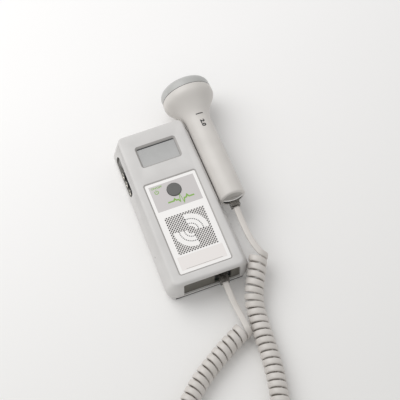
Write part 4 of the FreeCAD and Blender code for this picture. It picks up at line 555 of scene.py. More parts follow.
def ribbon(points, faces):
    """Flat cord with round edges swept along its middle line, and its length in its UV map."""
    section = []
    for k in range(CORD_CORNERS):
        angle = 2 * math.pi * (k + 0.5) / CORD_CORNERS
        c, s = math.cos(angle), math.sin(angle)
        section.append((math.copysign(abs(c) ** CORD_FULLNESS, c) * CORD_WIDTH / 2 * MM,
                        math.copysign(abs(s) ** CORD_FULLNESS, s) * CORD_THICKNESS / 2 * MM))
    work = bmesh.new()
    travelled, rings = 0.0, []
    uv = work.loops.layers.uv.new("along")
    for i, (place, face, way) in enumerate(zip(points, faces, directions(points))):
        travelled += (place - points[i - 1]).length if i else 0.0
        across = way.cross(face)
        rings.append(([work.verts.new(place + across * u + face * v) for u, v in section], travelled))
    for (ring, here), (following, there) in zip(rings, rings[1:]):
        for k in range(CORD_CORNERS):
            after = (k + 1) % CORD_CORNERS
            quad = work.faces.new((ring[k], ring[after], following[after], following[k]))
            quad.smooth = True
            spread_out = ((here, k), (here, k + 1), (there, k + 1), (there, k))
            for loop, (along, corner) in zip(quad.loops, spread_out):
                loop[uv].uv = (along, corner / CORD_CORNERS)
    work.faces.new(rings[0][0][::-1])
    work.faces.new(rings[-1][0])
    return mesh_from("curly_cord", work)


cord_points, cord_faces = cord_line()
cord = piece("curly_cord", ribbon(cord_points, cord_faces), None, vinyl,
             ("unit_lead", "cord_coil", "probe_lead"))
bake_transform(cord)

plugs = [dressed(node, polycarbonate, 0.25) for node in ("unit_plug", "probe_plug")]
for node in ("unit_plug_pins", "probe_plug_pins"):
    painted(node, brass)


# ---- Repeated shapes ----
def node_tree(name, inputs):
    """A Geometry Nodes tree with named inputs and one geometry output; returns it with its two end nodes."""
    tree = bpy.data.node_groups.new(name, "GeometryNodeTree")
    for title, kind in inputs.items():
        tree.interface.new_socket(name=title, in_out="INPUT", socket_type="NodeSocket" + kind)
    tree.interface.new_socket(name="Geometry", in_out="OUTPUT", socket_type="NodeSocketGeometry")
    return tree, tree.nodes.new("NodeGroupInput").outputs, tree.nodes.new("NodeGroupOutput").inputs


def close_tree(tree, given, result, geometry):
    """Ends a tree: its instances become a mesh of their own and take the finish."""
    real = add(tree, "GeometryNodeRealizeInstances", {0: geometry})
    coated = add(tree, "GeometryNodeSetMaterial", {"Geometry": real, "Material": given["Finish"]})
    tree.links.new(coated.outputs[0], result[0])


def grown(name, tree, values):
    """The plain mesh that a tree makes from the values of its inputs."""
    holder = in_scene(name, bpy.data.meshes.new(name + "_seed"))
    modifier = holder.modifiers.new("shape", "NODES")
    modifier.node_group = tree
    for item in tree.interface.items_tree:
        if item.in_out == "INPUT":
            modifier[item.identifier] = values[item.name]
    return as_mesh(holder)


def row_tree():
    """A unit shape repeated along a line."""
    tree, given, result = node_tree("row_of_units", {"Unit": "Object", "Count": "Int", "Start": "Vector",
                                                     "Step": "Vector", "Finish": "Material"})
    line = add(tree, "GeometryNodeMeshLine", {"Count": given["Count"], "Start Location": given["Start"],
                                              "Offset": given["Step"]})
    unit = add(tree, "GeometryNodeObjectInfo", {"Object": given["Unit"]}).outputs["Geometry"]
    copies = add(tree, "GeometryNodeInstanceOnPoints", {"Points": line, "Instance": unit})
    close_tree(tree, given, result, copies)
    return tree


def sheet_tree():
    """The sounding field of the label: a checkerboard of plain and pierced cells, plain inside two fans of
    sound waves round the field's focus."""
    tree, given, result = node_tree("pierced_sheet", {
        "Plain Cell": "Object", "Pierced Cell": "Object", "Columns": "Int", "Rows": "Int", "Cell": "Float",
        "Centre": "Vector", "Focus": "Vector", "Inner Radius": "Float", "Outer Radius": "Float",
        "Finish": "Material"})
    spans = []
    for count in (given["Columns"], given["Rows"]):
        steps = add(tree, MATH, {0: count, 1: 1.0}, operation="SUBTRACT")
        spans.append(add(tree, MATH, {0: steps, 1: given["Cell"]}, operation="MULTIPLY"))
    grid = add(tree, "GeometryNodeMeshGrid", {"Size X": spans[0], "Size Y": spans[1],
                                              "Vertices X": given["Columns"], "Vertices Y": given["Rows"]})
    index = add(tree, "GeometryNodeInputIndex")
    within_cell = add(tree, MATH, {0: index, 1: 0.5}, operation="ADD")
    columns = add(tree, MATH, {0: within_cell, 1: given["Rows"]}, operation="DIVIDE")
    column = add(tree, MATH, {0: columns}, operation="FLOOR")
    fewer = add(tree, MATH, {0: given["Rows"], 1: 1.0}, operation="SUBTRACT")
    passed = add(tree, MATH, {0: column, 1: fewer}, operation="MULTIPLY")
    row_and_column = add(tree, MATH, {0: index, 1: passed}, operation="SUBTRACT")
    odd = add(tree, MATH, {0: row_and_column, 1: 2.0}, operation="MODULO")
    off_focus = add(tree, VECTOR_MATH, {0: given["Centre"], 1: given["Focus"]}, operation="SUBTRACT")
    place = add(tree, "GeometryNodeInputPosition")
    away = add(tree, VECTOR_MATH, {0: place, 1: off_focus}, operation="ADD")
    radius = add(tree, VECTOR_MATH, {0: away}, operation="LENGTH")
    across, up = add(tree, "ShaderNodeSeparateXYZ", {0: away}).outputs[:2]
    corner = add(tree, MATH, {0: across, 1: up}, operation="MULTIPLY")
    plain = add(tree, MATH, {0: corner, 1: 0.0}, operation="GREATER_THAN")
    for title, operation in (("Inner Radius", "GREATER_THAN"), ("Outer Radius", "LESS_THAN")):
        within = add(tree, MATH, {0: radius, 1: given[title]}, operation=operation)
        plain = add(tree, MATH, {0: plain, 1: within}, operation="MULTIPLY")
    patterned = add(tree, MATH, {0: 1.0, 1: plain}, operation="SUBTRACT")
    pierced = add(tree, MATH, {0: odd, 1: patterned}, operation="MULTIPLY")
    whole = add(tree, MATH, {0: 1.0, 1: pierced}, operation="SUBTRACT")
    both = tree.nodes.new("GeometryNodeJoinGeometry")
    for title, chosen in (("Pierced Cell", pierced), ("Plain Cell", whole)):
        unit = add(tree, "GeometryNodeObjectInfo", {"Object": given[title]}).outputs["Geometry"]
        cells = add(tree, "GeometryNodeInstanceOnPoints", {"Points": grid, "Selection": chosen,
                                                           "Instance": unit})
        tree.links.new(cells.outputs[0], both.inputs[0])
    placed = add(tree, "GeometryNodeTransform", {"Geometry": both, "Translation": given["Centre"]})
    close_tree(tree, given, result, placed)
    return tree


def arc_tree():
    """Small pegs side by side along an arc."""
    tree, given, result = node_tree("pegs_on_arc", {
        "Centre": "Vector", "Radius": "Float", "Start Angle": "Float", "Sweep": "Float", "Count": "Int",
        "Peg Radius": "Float", "Peg Height": "Float", "Finish": "Material"})
    arc = add(tree, "GeometryNodeCurveArc", {"Resolution": given["Count"], "Radius": given["Radius"],
                                             "Start Angle": given["Start Angle"],
                                             "Sweep Angle": given["Sweep"]})
    points = add(tree, "GeometryNodeCurveToPoints", {"Curve": arc}, mode="EVALUATED")
    peg = add(tree, "GeometryNodeMeshCylinder", {"Vertices": 8, "Radius": given["Peg Radius"],
                                                 "Depth": given["Peg Height"]})
    pegs = add(tree, "GeometryNodeInstanceOnPoints", {"Points": points, "Instance": peg})
    placed = add(tree, "GeometryNodeTransform", {"Geometry": pegs, "Translation": given["Centre"]})
    close_tree(tree, given, result, placed)
    return tree


# ---- Label ----
LABEL_Y = -20.5
LABEL_HALF_WIDTH = 21.7
LABEL_HALF_LENGTH = 41.9
LABEL_CORNER = 1.2
CORNER_FACETS = 5
LABEL_TOP = 26.95
LABEL_FOIL = 0.16
CELL = 1.2
CELL_COLUMNS = 28
CELL_ROWS = 29
HOLE_REACH = (0.585, 0.81, 0.585, 0.60)      # to a side, to a corner along the slant, a side, a corner
FIELD_Y = LABEL_Y - 8.3                      # centre of the pierced field
FIELD_HALF_WIDTH = CELL_COLUMNS * CELL / 2
FIELD_HALF_LENGTH = CELL_ROWS * CELL / 2
WELD = 0.01                                  # how near two corners of the cells are one
CLOTH_HALF_WIDTH = 17.4
CLOTH_HALF_LENGTH = 18.6
CLOTH_LEVELS = (26.6, 26.78)
FOCUS = (0.35, LABEL_Y - 7.8)                # of the sound waves
WAVE_INNER = 3.3                             # radii of the two fans
WAVE_OUTER = 14.6
FAN_STARTS = (-8, 172)                       # degrees
FAN_SWEEP = 107
FAN_FACETS = 30
FAN_MARGIN = 1                               # degrees between a fan's edge and its first dot
PLAIN_MARGIN = 0.9                           # of the cells under a fan, inside its edge
DOT_ARCS = [(5.85, 8), (9.95, 13)]           # radius, number of dots
DOT_RADIUS = 0.5
DOT_FILMS = 4                                # height of a dot in films of ink, half of it in the foil
BUTTON_Y = 10.5
BUTTON_HOLE = 5.95
MOUTH_FACETS = 48
# outer edge of the dark ring round the button's hole, a painted shadow of its gap
BUTTON_GAP_SHADE = 6.12
PANEL_HALF_WIDTH = 19.2                      # of the grey panel and of the warm field
PANEL_SPAN = (LABEL_Y + 15.4, LABEL_Y + 39.4)
WARM_SPAN = (LABEL_Y - 39.4, LABEL_Y - 27.2)
RULE_HALF_LENGTH = 15.5
RULE_SPAN = (LABEL_Y - 38.8, LABEL_Y - 38.4)
PRINT_HEIGHT = 0.02
LETTER_WEIGHT = 0.025                        # how far a letter's outline is grown, as a share of its size
WORD_SIZE = (9.2, 1.9)
WORD_PLACE = (-17.6, LABEL_Y + 36.3)
PULSE_PLACE = (0.8, LABEL_Y + 21.2)
PULSE = [(-9.5, 0), (-4.5, 0), (-3.4, 1.6), (-2.3, 0), (-0.6, 0), (0.4, -2.0), (1.8, 5.4), (3.2, -3.8),
         (4.4, 0), (6.2, 0), (7.3, 2.0), (8.5, 0), (13.0, 0)]
PULSE_WIDTH = 1.25
POWER_PLACE = (-14.2, LABEL_Y + 33.2)
POWER_RADIUS = 1.5
POWER_GAP = (125, 415)                       # degrees where the ring starts and ends
POWER_FACETS = 16
POWER_BAR = (0.2, 2.1)
POWER_WIDTH = 0.6


def printed_foil():
    """Printed polyester label: a white border, a cool grey panel round the button, a warm field below, and a
    dark ring at the button's hole that is a painted shadow of the gap round the button.
    """
    material, tree, place = surface("polyester_label_printed")
    across, along, _ = add(tree, "ShaderNodeSeparateXYZ", {0: place}).outputs
    panel, warm, rule, tint = [
        inside(tree, (across, -half_width, half_width), (along, *span)) for half_width, span in (
            (PANEL_HALF_WIDTH, PANEL_SPAN), (PANEL_HALF_WIDTH, WARM_SPAN), (RULE_HALF_LENGTH, RULE_SPAN),
            (FIELD_HALF_WIDTH, (FIELD_Y - FIELD_HALF_LENGTH, FIELD_Y + FIELD_HALF_LENGTH)))]
    from_button = add(tree, VECTOR_MATH, {0: place, 1: (0, BUTTON_Y * MM, LABEL_TOP * MM)},
                      operation="DISTANCE")
    # The dark ring at the button's hole is a painted shadow of the gap.
    ring = add(tree, MATH, {0: from_button, 1: BUTTON_GAP_SHADE * MM}, operation="LESS_THAN")
    grain, fleck = clouds(tree, place, 0.5)
    bump = add(tree, "ShaderNodeBump", {"Height": grain, "Strength": 0.15, "Distance": 0.01 * MM})
    tone = layered(tree, "#FAF8F6", (fleck, "#F6F4F2"), (warm, "#EFEAE7"), (tint, "#E8E5E2"),
                   (panel, "#CFCBCA"), (rule, "#B9B4B0"), (ring, "#3E3D3C"))
    return finished(material, Base_Color=tone, Roughness=0.42, Normal=bump)


def cell_mesh(pierced):
    """One square cell of the sheet, its edges halved so that all cells meet point to point."""
    work = bmesh.new()
    rim, hole = [], []
    for k, angle in enumerate(round_angles(8)):
        way = Vector((math.cos(angle), math.sin(angle), 0)) * MM
        rim.append(work.verts.new(way * CELL / 2 * (math.sqrt(2) if k % 2 else 1)))
        hole.append(way * HOLE_REACH[k % 4])
    if pierced:
        hole = [work.verts.new(place) for place in hole]
        for k in range(8):
            after = (k + 1) % 8
            work.faces.new((rim[k], rim[after], hole[after], hole[k]))
    else:
        work.faces.new(rim)
    return mesh_from("label_cell", work)


def loop_of(work, points):
    """Closed loop of edges through plan points on the label."""
    verts = [work.verts.new(Vector((*point, LABEL_TOP)) * MM) for point in points]
    return [work.edges.new((a, b)) for a, b in zip(verts, verts[1:] + verts[:1])]


def arc_points(centre, radius, start, end, steps):
    """Plan points on an arc between two angles in degrees."""
    turns = [math.radians(start + (end - start) * k / steps) for k in range(steps + 1)]
    return [(centre[0] + radius * math.cos(a), centre[1] + radius * math.sin(a)) for a in turns]


def label_outline():
    """The label's edge with its rounded corners."""
    points = []
    for quarter, (sx, sy) in enumerate(((1, 1), (-1, 1), (-1, -1), (1, -1))):
        middle = (sx * (LABEL_HALF_WIDTH - LABEL_CORNER), LABEL_Y + sy * (LABEL_HALF_LENGTH - LABEL_CORNER))
        points += arc_points(middle, LABEL_CORNER, 90 * quarter, 90 * (quarter + 1), CORNER_FACETS)
    return points


def face_up(work):
    """Turns the faces of a flat sheet to +Z."""
    bmesh.ops.recalc_face_normals(work, faces=work.faces)
    if sum(face.normal.z for face in work.faces) < 0:
        bmesh.ops.reverse_faces(work, faces=work.faces)


def label_sheet():
    """The foil: its pierced field, filled out to the label's edge and round the button's hole."""
    cells = [in_scene("plain_cell", cell_mesh(False)), in_scene("pierced_cell", cell_mesh(True))]
    mesh = grown("label_field", sheet_tree(), {
        "Plain Cell": cells[0], "Pierced Cell": cells[1], "Columns": CELL_COLUMNS, "Rows": CELL_ROWS,
        "Cell": CELL * MM, "Centre": Vector((0, FIELD_Y, LABEL_TOP)) * MM,
        "Focus": Vector((*FOCUS, LABEL_TOP)) * MM, "Inner Radius": (WAVE_INNER + PLAIN_MARGIN) * MM,
        "Outer Radius": (WAVE_OUTER - PLAIN_MARGIN) * MM, "Finish": foil})
    for cell in cells:
        bpy.data.objects.remove(cell)
    work = bmesh.new()
    work.from_mesh(mesh)
    bmesh.ops.remove_doubles(work, verts=work.verts, dist=WELD * MM)

    def on_border(vert):
        return (abs(abs(vert.co.x) / MM - FIELD_HALF_WIDTH) < 2 * WELD
                or abs(abs(vert.co.y / MM - FIELD_Y) - FIELD_HALF_LENGTH) < 2 * WELD)
    border = [edge for edge in work.edges if edge.is_boundary and all(on_border(vert) for vert in edge.verts)]
    outline = loop_of(work, label_outline())
    mouth = loop_of(work, arc_points((0, BUTTON_Y), BUTTON_HOLE, 0, 360, MOUTH_FACETS)[:-1])
    bmesh.ops.triangle_fill(work, edges=border + outline + mouth, use_beauty=True, normal=(0, 0, 1))
    face_up(work)
    bmesh.ops.solidify(work, geom=work.faces[:], thickness=LABEL_FOIL * MM)
    return mesh_from("label_foil", work)


def stroke(name, points, width):
    """Flat line of ink through plan points, a film thick on the label."""
    work = bmesh.new()
    line = [Vector((*point, LABEL_TOP)) for point in points]
    sides = []
    for k, place in enumerate(line):
        before = (place - line[k - 1]).normalized() if k else None
        after = (line[k + 1] - place).normalized() if k < len(line) - 1 else None
        way = ((before or after) + (after or before)).normalized()
        half = width / 2 / max(way.dot(after or before), 0.5)
        across = Vector((-way.y, way.x, 0)) * half
        sides.append([work.verts.new((place + across * sign) * MM) for sign in (1, -1)])
    for (a, b), (c, d) in zip(sides, sides[1:]):
        work.faces.new((a, b, d, c))
    face_up(work)
    film = bmesh.ops.extrude_face_region(work, geom=work.faces[:])
    bmesh.ops.translate(work, vec=(0, 0, PRINT_HEIGHT * MM),
                        verts=[item for item in film["geom"] if isinstance(item, bmesh.types.BMVert)])
    return mesh_from(name, work)


def lettering(body, width, height, weight=LETTER_WEIGHT):
    """Mesh of plain letters in millimetres, from the left end of their base line, on z = 0."""
    curve = bpy.data.curves.new("letters", "FONT")
    curve.body = body
    curve.extrude = PRINT_HEIGHT / 2
    curve.offset = weight
    curve.resolution_u = 3
    mesh = as_mesh(in_scene("letters", curve))
    for axis, size in enumerate((width, height)):
        reach = [vert.co[axis] for vert in mesh.vertices]
        low, high = min(reach), max(reach)
        for vert in mesh.vertices:
            vert.co[axis] = (vert.co[axis] - low) / (high - low) * size
    return mesh


def on_off_word():
    """The word beside the button, flat on the label."""
    mesh = lettering("ON/OFF", *WORD_SIZE)
    for vert in mesh.vertices:
        vert.co = (vert.co + Vector((*WORD_PLACE, LABEL_TOP + PRINT_HEIGHT / 2))) * MM
    return mesh


def label_print():
    """Green print: the word and the power mark beside the button, and a pulse under it."""
    x, y = POWER_PLACE
    trace = [(px + PULSE_PLACE[0], py + PULSE_PLACE[1]) for px, py in PULSE]
    return merged("label_print", [
        on_off_word(), stroke("pulse", trace, PULSE_WIDTH),
        stroke("power_arc", arc_points(POWER_PLACE, POWER_RADIUS, *POWER_GAP, POWER_FACETS), POWER_WIDTH),
        stroke("power_bar", [(x, y + end) for end in POWER_BAR], POWER_WIDTH)])


def wave_dots():
    """Rows of black dots that follow the sound waves."""
    tree = arc_tree()
    return merged("wave_dots", [grown("dots", tree, {
        "Centre": Vector((*FOCUS, LABEL_TOP)) * MM, "Radius": radius * MM,
        "Start Angle": math.radians(start + FAN_MARGIN), "Sweep": math.radians(FAN_SWEEP - 2 * FAN_MARGIN),
        "Count": count, "Peg Radius": DOT_RADIUS * MM, "Peg Height": DOT_FILMS * PRINT_HEIGHT * MM,
        "Finish": black_ink}) for radius, count in DOT_ARCS for start in FAN_STARTS])


def fans():
    """Two plain fans over the pierced field, where the sound waves are."""
    middle, width = (WAVE_INNER + WAVE_OUTER) / 2, WAVE_OUTER - WAVE_INNER
    return merged("wave_fans", [
        stroke("fan", arc_points(FOCUS, middle, start, start + FAN_SWEEP, FAN_FACETS), width)
        for start in FAN_STARTS])


foil = printed_foil()
piece("label_foil", label_sheet(), "case", foil, ("front_label",))
piece("speaker_cloth", slab("speaker_cloth", (-CLOTH_HALF_WIDTH, CLOTH_HALF_WIDTH),
                            (FIELD_Y - CLOTH_HALF_LENGTH, FIELD_Y + CLOTH_HALF_LENGTH), CLOTH_LEVELS),
      "case", cloth)
piece("wave_fans", fans(), "case", white_ink)
piece("wave_dots", wave_dots(), "case", black_ink)
piece("label_print", label_print(), "case", green_ink)

# ---- Case ----
DISPLAY_EDGE_SHADOW = ((-16.0, 16.0), (55.1, 56.05), (25.3, 25.42))
CONTACT_SHADOW_STRIP = ((-28.5, 28.5), (-69.9, -67.0), (0.02, 0.7))
OPENING_HIGHLIGHT_BEAD = ((-22.0, 25.7), (-71.15, -70.5), (4.5, 5.12))

for node, finish, slot, bevel in (
        ("front_shell", abs_front_painted_shade, "case_plastic", 0.2), ("rear_shell", abs_case, "case_plastic", 0.2),
        ("battery_door", abs_door, "case_plastic", 0.2), ("probe_holder", abs_case, "case_plastic", 0.3),
        ("end_panel", panel_dark, "dark_plastic", 0.15), ("jack_panel", panel_side, "dark_plastic", 0.15),
        ("volume_wheel", acetal_grey, "wheel_plastic", 0.12),
        ("power_button", button_grey, "button_plastic", 0.2), ("lcd_window", acrylic, "window_plastic", 0.1)):
    dressed(node, finish, bevel)

# Painted shadow and light as thin pieces: a black strip along the display's edge for the shadow there, a dark
# rubber strip under the cord end for the contact shadow under the case, and a white bead under the cord's
# opening as a painted highlight on its lip.
piece("display_edge", slab("display_edge", *DISPLAY_EDGE_SHADOW), "case", epoxy_black)
piece("foot_strip", slab("foot_strip", *CONTACT_SHADOW_STRIP), "case", foam_dark)
piece("opening_bead", slab("opening_bead", *OPENING_HIGHLIGHT_BEAD), "case", abs_lip_painted_highlight)

# ---- Side walls ----
CASE_LENGTH = 142.5
CASE_TAPER = 2.2                             # of each side, over the case's length
WALL_X = 34.5                                # of a side at its middle, where it starts to lean in
LEAN_LOW = 9.5
LEAN_HEIGHT = 18.0
LEAN_DEPTH = 5.6
POCKET_LOW = 22.4                            # its round ends
POCKET_HIGH = 60.2
POCKET_HALF_HEIGHT = 3.7
POCKET_Z = 15.0
POCKET_FLOOR_X = -29.55
POCKET_LINING = 0.18
POCKET_FIT = 0.02
POCKET_FACETS = 12                           # of each round end
POCKET_SUNK = 0.15                           # lining's edge, below the wall
SOCKET_COUNT = 3
SOCKET_FACE_X = -32.4
SOCKET_FIRST_Y = 26.3
SOCKET_PITCH = 8.0
SOCKET_RING_OUTER = 2.75
SOCKET_RING_INNER = 2.35
SOCKET_RING_PROUD = 0.4
SOCKET_RING_EDGE = 0.25                      # where its outer edge starts to slope
SOCKET_RING_SLOPES = (0.12, 0.1)             # of its outer and its inner edge
SOCKET_RING_FACETS = 24
VENT_Y = -35.5
VENT_Z = 14.0
VENT_RADIUS = 0.58
VENT_FACETS = 16
VENT_FELT = 0.3
VENT_SUNK = 0.22
LAND_START = -10.0
LAND_END = 60.0
LAND_LOW = 18.0
LAND_HIGH = 25.2
LAND_PROUD = 0.5
LAND_ROOT = 0.3                              # how far it stands in the wall
LAND_RUN = 1.0                               # in which an end rises
LAND_SLOPE = 0.4                             # of its upper edge


def left_wall_x(y, z):
    """Outer face of the case's left wall, in millimetres."""
    return -(WALL_X - y * CASE_TAPER / CASE_LENGTH - LEAN_DEPTH * (z - LEAN_LOW) / LEAN_HEIGHT)


def ring_unit():
    """Plated bush round a socket's mouth, its axis along X."""
    profile = [(0.0, SOCKET_RING_OUTER), (-SOCKET_RING_EDGE, SOCKET_RING_OUTER),
               (-SOCKET_RING_PROUD, SOCKET_RING_OUTER - SOCKET_RING_SLOPES[0]),
               (-SOCKET_RING_PROUD, SOCKET_RING_INNER + SOCKET_RING_SLOPES[1]), (0.0, SOCKET_RING_INNER)]
    return skin("socket_ring", [[Vector((x, r * math.cos(a), r * math.sin(a))) * MM for x, r in profile]
                                for a in round_angles(SOCKET_RING_FACETS)], endless=True)


def pocket_lining():
    """Dark lining of the pocket's wall, cut to the lean of the case's side; its dark grey is partly the
    inset's own colour and partly painted shade in the pocket.
    """
    rings = []
    outer_r, inner_r = POCKET_HALF_HEIGHT - POCKET_FIT, POCKET_HALF_HEIGHT - POCKET_LINING
    for middle, start in ((POCKET_HIGH - POCKET_HALF_HEIGHT, 0), (POCKET_LOW + POCKET_HALF_HEIGHT, math.pi)):
        for k in range(POCKET_FACETS + 1):
            angle = start + math.pi * k / POCKET_FACETS - math.pi / 2
            ring = []
            for r, at_wall in ((outer_r, False), (outer_r, True), (inner_r, True), (inner_r, False)):
                y, z = middle + r * math.cos(angle), POCKET_Z + r * math.sin(angle)
                x = left_wall_x(y, z) + POCKET_SUNK if at_wall else POCKET_FLOOR_X
                ring.append(Vector((x, y, z)) * MM)
            rings.append(ring)
    return skin("pocket_lining", rings, endless=True)


def felt_disc():
    """Felt behind the vent hole of the left wall."""
    middle = left_wall_x(VENT_Y, VENT_Z) + VENT_SUNK
    return skin("vent_felt", [
        [Vector((x, VENT_Y + VENT_RADIUS * math.cos(a), VENT_Z + VENT_RADIUS * math.sin(a))) * MM
         for a in round_angles(VENT_FACETS)] for x in (middle - VENT_FELT / 2, middle + VENT_FELT / 2)])


def rest_land():
    """Low raised land along the right wall, that the handle lies beside."""
    rings = []
    for y in (LAND_START, LAND_START + LAND_RUN, LAND_END - LAND_RUN, LAND_END):
        proud = LAND_PROUD if LAND_START < y < LAND_END else 0.0
        section = ((-LAND_ROOT, LAND_LOW), (proud, LAND_LOW), (proud, LAND_HIGH - LAND_SLOPE),
                   (proud / 2, LAND_HIGH), (-LAND_ROOT, LAND_HIGH))
        rings.append([Vector((x - left_wall_x(y, z), y, z)) * MM for x, z in section])
    return skin("rest_land", rings)


def socket_rings():
    """The plated bushes of the three sockets, side by side."""
    unit = in_scene("socket_ring_unit", ring_unit())
    mesh = grown("socket_rings", row_tree(), {
        "Unit": unit, "Count": SOCKET_COUNT, "Start": Vector((SOCKET_FACE_X, SOCKET_FIRST_Y, POCKET_Z)) * MM,
        "Step": Vector((0, SOCKET_PITCH, 0)) * MM, "Finish": nickel})
    bpy.data.objects.remove(unit)
    return mesh


# The pocket's dark lining carries painted shade.
piece("pocket_lining", pocket_lining(), "case", panel_side)
piece("vent_felt", felt_disc(), "case", foam_dark)
soften(piece("rest_land", rest_land(), "case", abs_case))
soften(piece("socket_rings", socket_rings(), "case", nickel))

# ---- Probe ----
PROBE_FOOT = Vector((42.53, -12.0, 23.0))
PROBE_TURN = math.atan(CASE_TAPER / CASE_LENGTH)
PROBE_AXIS = Vector((-math.sin(PROBE_TURN), math.cos(PROBE_TURN), 0))
PROBE_SIDE = Vector((math.cos(PROBE_TURN), math.sin(PROBE_TURN), 0))
PROBE_RADIUS = 10.7
PROBE_WALL = 2.2
PROBE_FACETS = 96
PROBE_EDGE_ANGLE = 40
FOOT_ROUND = 1.6
FOOT_LAND = 0.1                              # flat ring inside the foot's rounded edge
STRAIGHT_START = 8                           # where the handle's rows begin past its foot, and how far apart
STRAIGHT_STEP = 6
COLLAR_RADIUS = 21.6
JOINT = 102.0
JOINT_RADIUS = 21.2
JOINT_BULGE = (1.5, 0.8, 0.25)               # collar's run-on, its turn before the joint, and how full it is
FLARE_START = 74.0
FLARE_END = 98.0
FLARE_SLOW = 13.0                            # how far the flare runs on along the handle before it turns out
FLARE_FAST = 6.5                             # the same, back from the collar
FLARE_ROWS = 20
JOINT_ROWS = 6
BORE_SHORTER = 1.2                           # the bore's flare, at the collar
JOINT_LINE_SPAN = (JOINT - 0.18, JOINT + 0.18)
JOINT_LINE_PROUD = 0.1
JOINT_LINE_DEPTH = 0.4
MARK_ALONG = 72.0
MARK_ANGLE = 92                              # degrees
MARK_SIZE = (6.8, 3.7)
MARK_LIFT = 0.06
TICK_SPAN = (77.3, 78.1)
TICK_ANGLES = (66, 98)
TICK_RADIUS = 11.14                          # on the flare's beginning
TICK_DEPTH = 0.2
TICK_FACETS = 12
LIP_STEPS = 16
LIP_HALF_WIDTH = 9.0
LIP_REACH = 2.3
LIP_TIP = 0.05                               # the same, at its two ends
LIP_ROUNDNESS = 0.7                          # 1 would make its plan a sine's arch
LIP_ROOT = 0.4
LIP_LOW = 0.36                               # over the probe's axis
LIP_HIGH = 1.1
LIP_SLOPE = (0.7, 0.3)                       # where its upper edge starts to fall, as a share, and how far


def on_handle(along, angle, radius):
    """Place round the probe's axis, in metres; the angle counts from its right side towards the top."""
    out = PROBE_SIDE * math.cos(angle) + UP * math.sin(angle)
    return (PROBE_FOOT + PROBE_AXIS * along + out * radius) * MM


def frequency_mark():
    """Letters wrapped round the handle, read along it towards the foot."""
    mesh = lettering("2.0", *MARK_SIZE, 2 * LETTER_WEIGHT)
    for vert in mesh.vertices:
        x, y, z = vert.co
        angle = math.radians(MARK_ANGLE) - y / PROBE_RADIUS
        vert.co = on_handle(MARK_ALONG - x, angle, PROBE_RADIUS + MARK_LIFT + z)
    return mesh


def band(name, span, angles, radius, depth, steps):
    """Curved strip on the probe, between two places along it and two angles round it. It may go all round."""
    low, high = angles
    whole = high - low >= 360
    section = [(span[0], radius), (span[1], radius), (span[1], radius - depth), (span[0], radius - depth)]
    turns = [math.radians(low + (high - low) * k / steps) for k in range(steps if whole else steps + 1)]
    return skin(name, [[on_handle(s, angle, r) for s, r in section] for angle in turns], endless=whole)


def bezier(first, second, third, last, steps):
    """Places on a cubic curve between its first and its last point, without the first."""
    found = []
    for k in range(1, steps + 1):
        t = k / steps
        found.append(tuple((1 - t) ** 3 * a + 3 * t * (1 - t) ** 2 * b + 3 * t * t * (1 - t) * c + t ** 3 * d
                           for a, b, c, d in zip(first, second, third, last)))
    return found


def flare(radius, collar, start, end):
    """Smooth sweep from the handle's radius to the collar's: hollow at the handle, full at the collar."""
    return bezier((start, radius), (start + FLARE_SLOW, radius), (end - FLARE_FAST, collar), (end, collar),
                  FLARE_ROWS)


def handle_form():
    """The handle in one smooth sweep, foot edge to joint, with its wall, as (along, radius)."""
    bore, mouth = PROBE_RADIUS - PROBE_WALL, COLLAR_RADIUS - PROBE_WALL
    centre = PROBE_RADIUS - FOOT_ROUND
    outside = [(0.0, bore), (0.0, centre - FOOT_LAND)]
    for k in range(1, 7):
        angle = math.radians(15 * k)
        outside.append((FOOT_ROUND * (1 - math.cos(angle)), centre + FOOT_ROUND * math.sin(angle)))
    outside += [(along, PROBE_RADIUS) for along in range(STRAIGHT_START, int(FLARE_START), STRAIGHT_STEP)]
    outside += [(FLARE_START, PROBE_RADIUS), *flare(PROBE_RADIUS, COLLAR_RADIUS, FLARE_START, FLARE_END)]
    on, back, out = JOINT_BULGE
    outside += bezier((FLARE_END, COLLAR_RADIUS), (FLARE_END + on, COLLAR_RADIUS),
                      (JOINT - back, JOINT_RADIUS + out), (JOINT, JOINT_RADIUS), JOINT_ROWS)
    inner = flare(bore, mouth, FLARE_START + PROBE_WALL, FLARE_END - BORE_SHORTER)[::-1]
    return [*outside, (JOINT, mouth), *inner, (FLARE_START + PROBE_WALL, bore)]


def turned_handle():
    """The handle's form turned round the probe's axis."""
    form = handle_form()
    return skin("probe_handle_finished", [[on_handle(s, angle, r) for s, r in form]
                                          for angle in round_angles(PROBE_FACETS)], endless=True)


def foot_lip():
    """Rounded lip along the end plate's lower edge, over the plug."""
    nose, fall = LIP_SLOPE
    rings = []
    for k in range(LIP_STEPS + 1):
        share = 2 * k / LIP_STEPS - 1
        arch = math.cos(share * math.pi / 2) ** LIP_ROUNDNESS if k % LIP_STEPS else 0.0
        out = max(LIP_TIP, LIP_REACH * arch)
        middle = PROBE_FOOT + PROBE_SIDE * LIP_HALF_WIDTH * share
        section = ((LIP_ROOT, LIP_HIGH), (-out * nose, LIP_HIGH), (-out, LIP_HIGH - fall), (-out, LIP_LOW),
                   (LIP_ROOT, LIP_LOW))
        rings.append([(middle + PROBE_AXIS * along + UP * height) * MM for along, height in section])
    return skin("probe_foot_lip", rings)


handle = piece("probe_handle_finished", turned_handle(), "probe", abs_probe,
               ("probe_handle",))
soften(handle, angle=PROBE_EDGE_ANGLE)
dressed("probe_cap", acoustic_cap, 0.3)
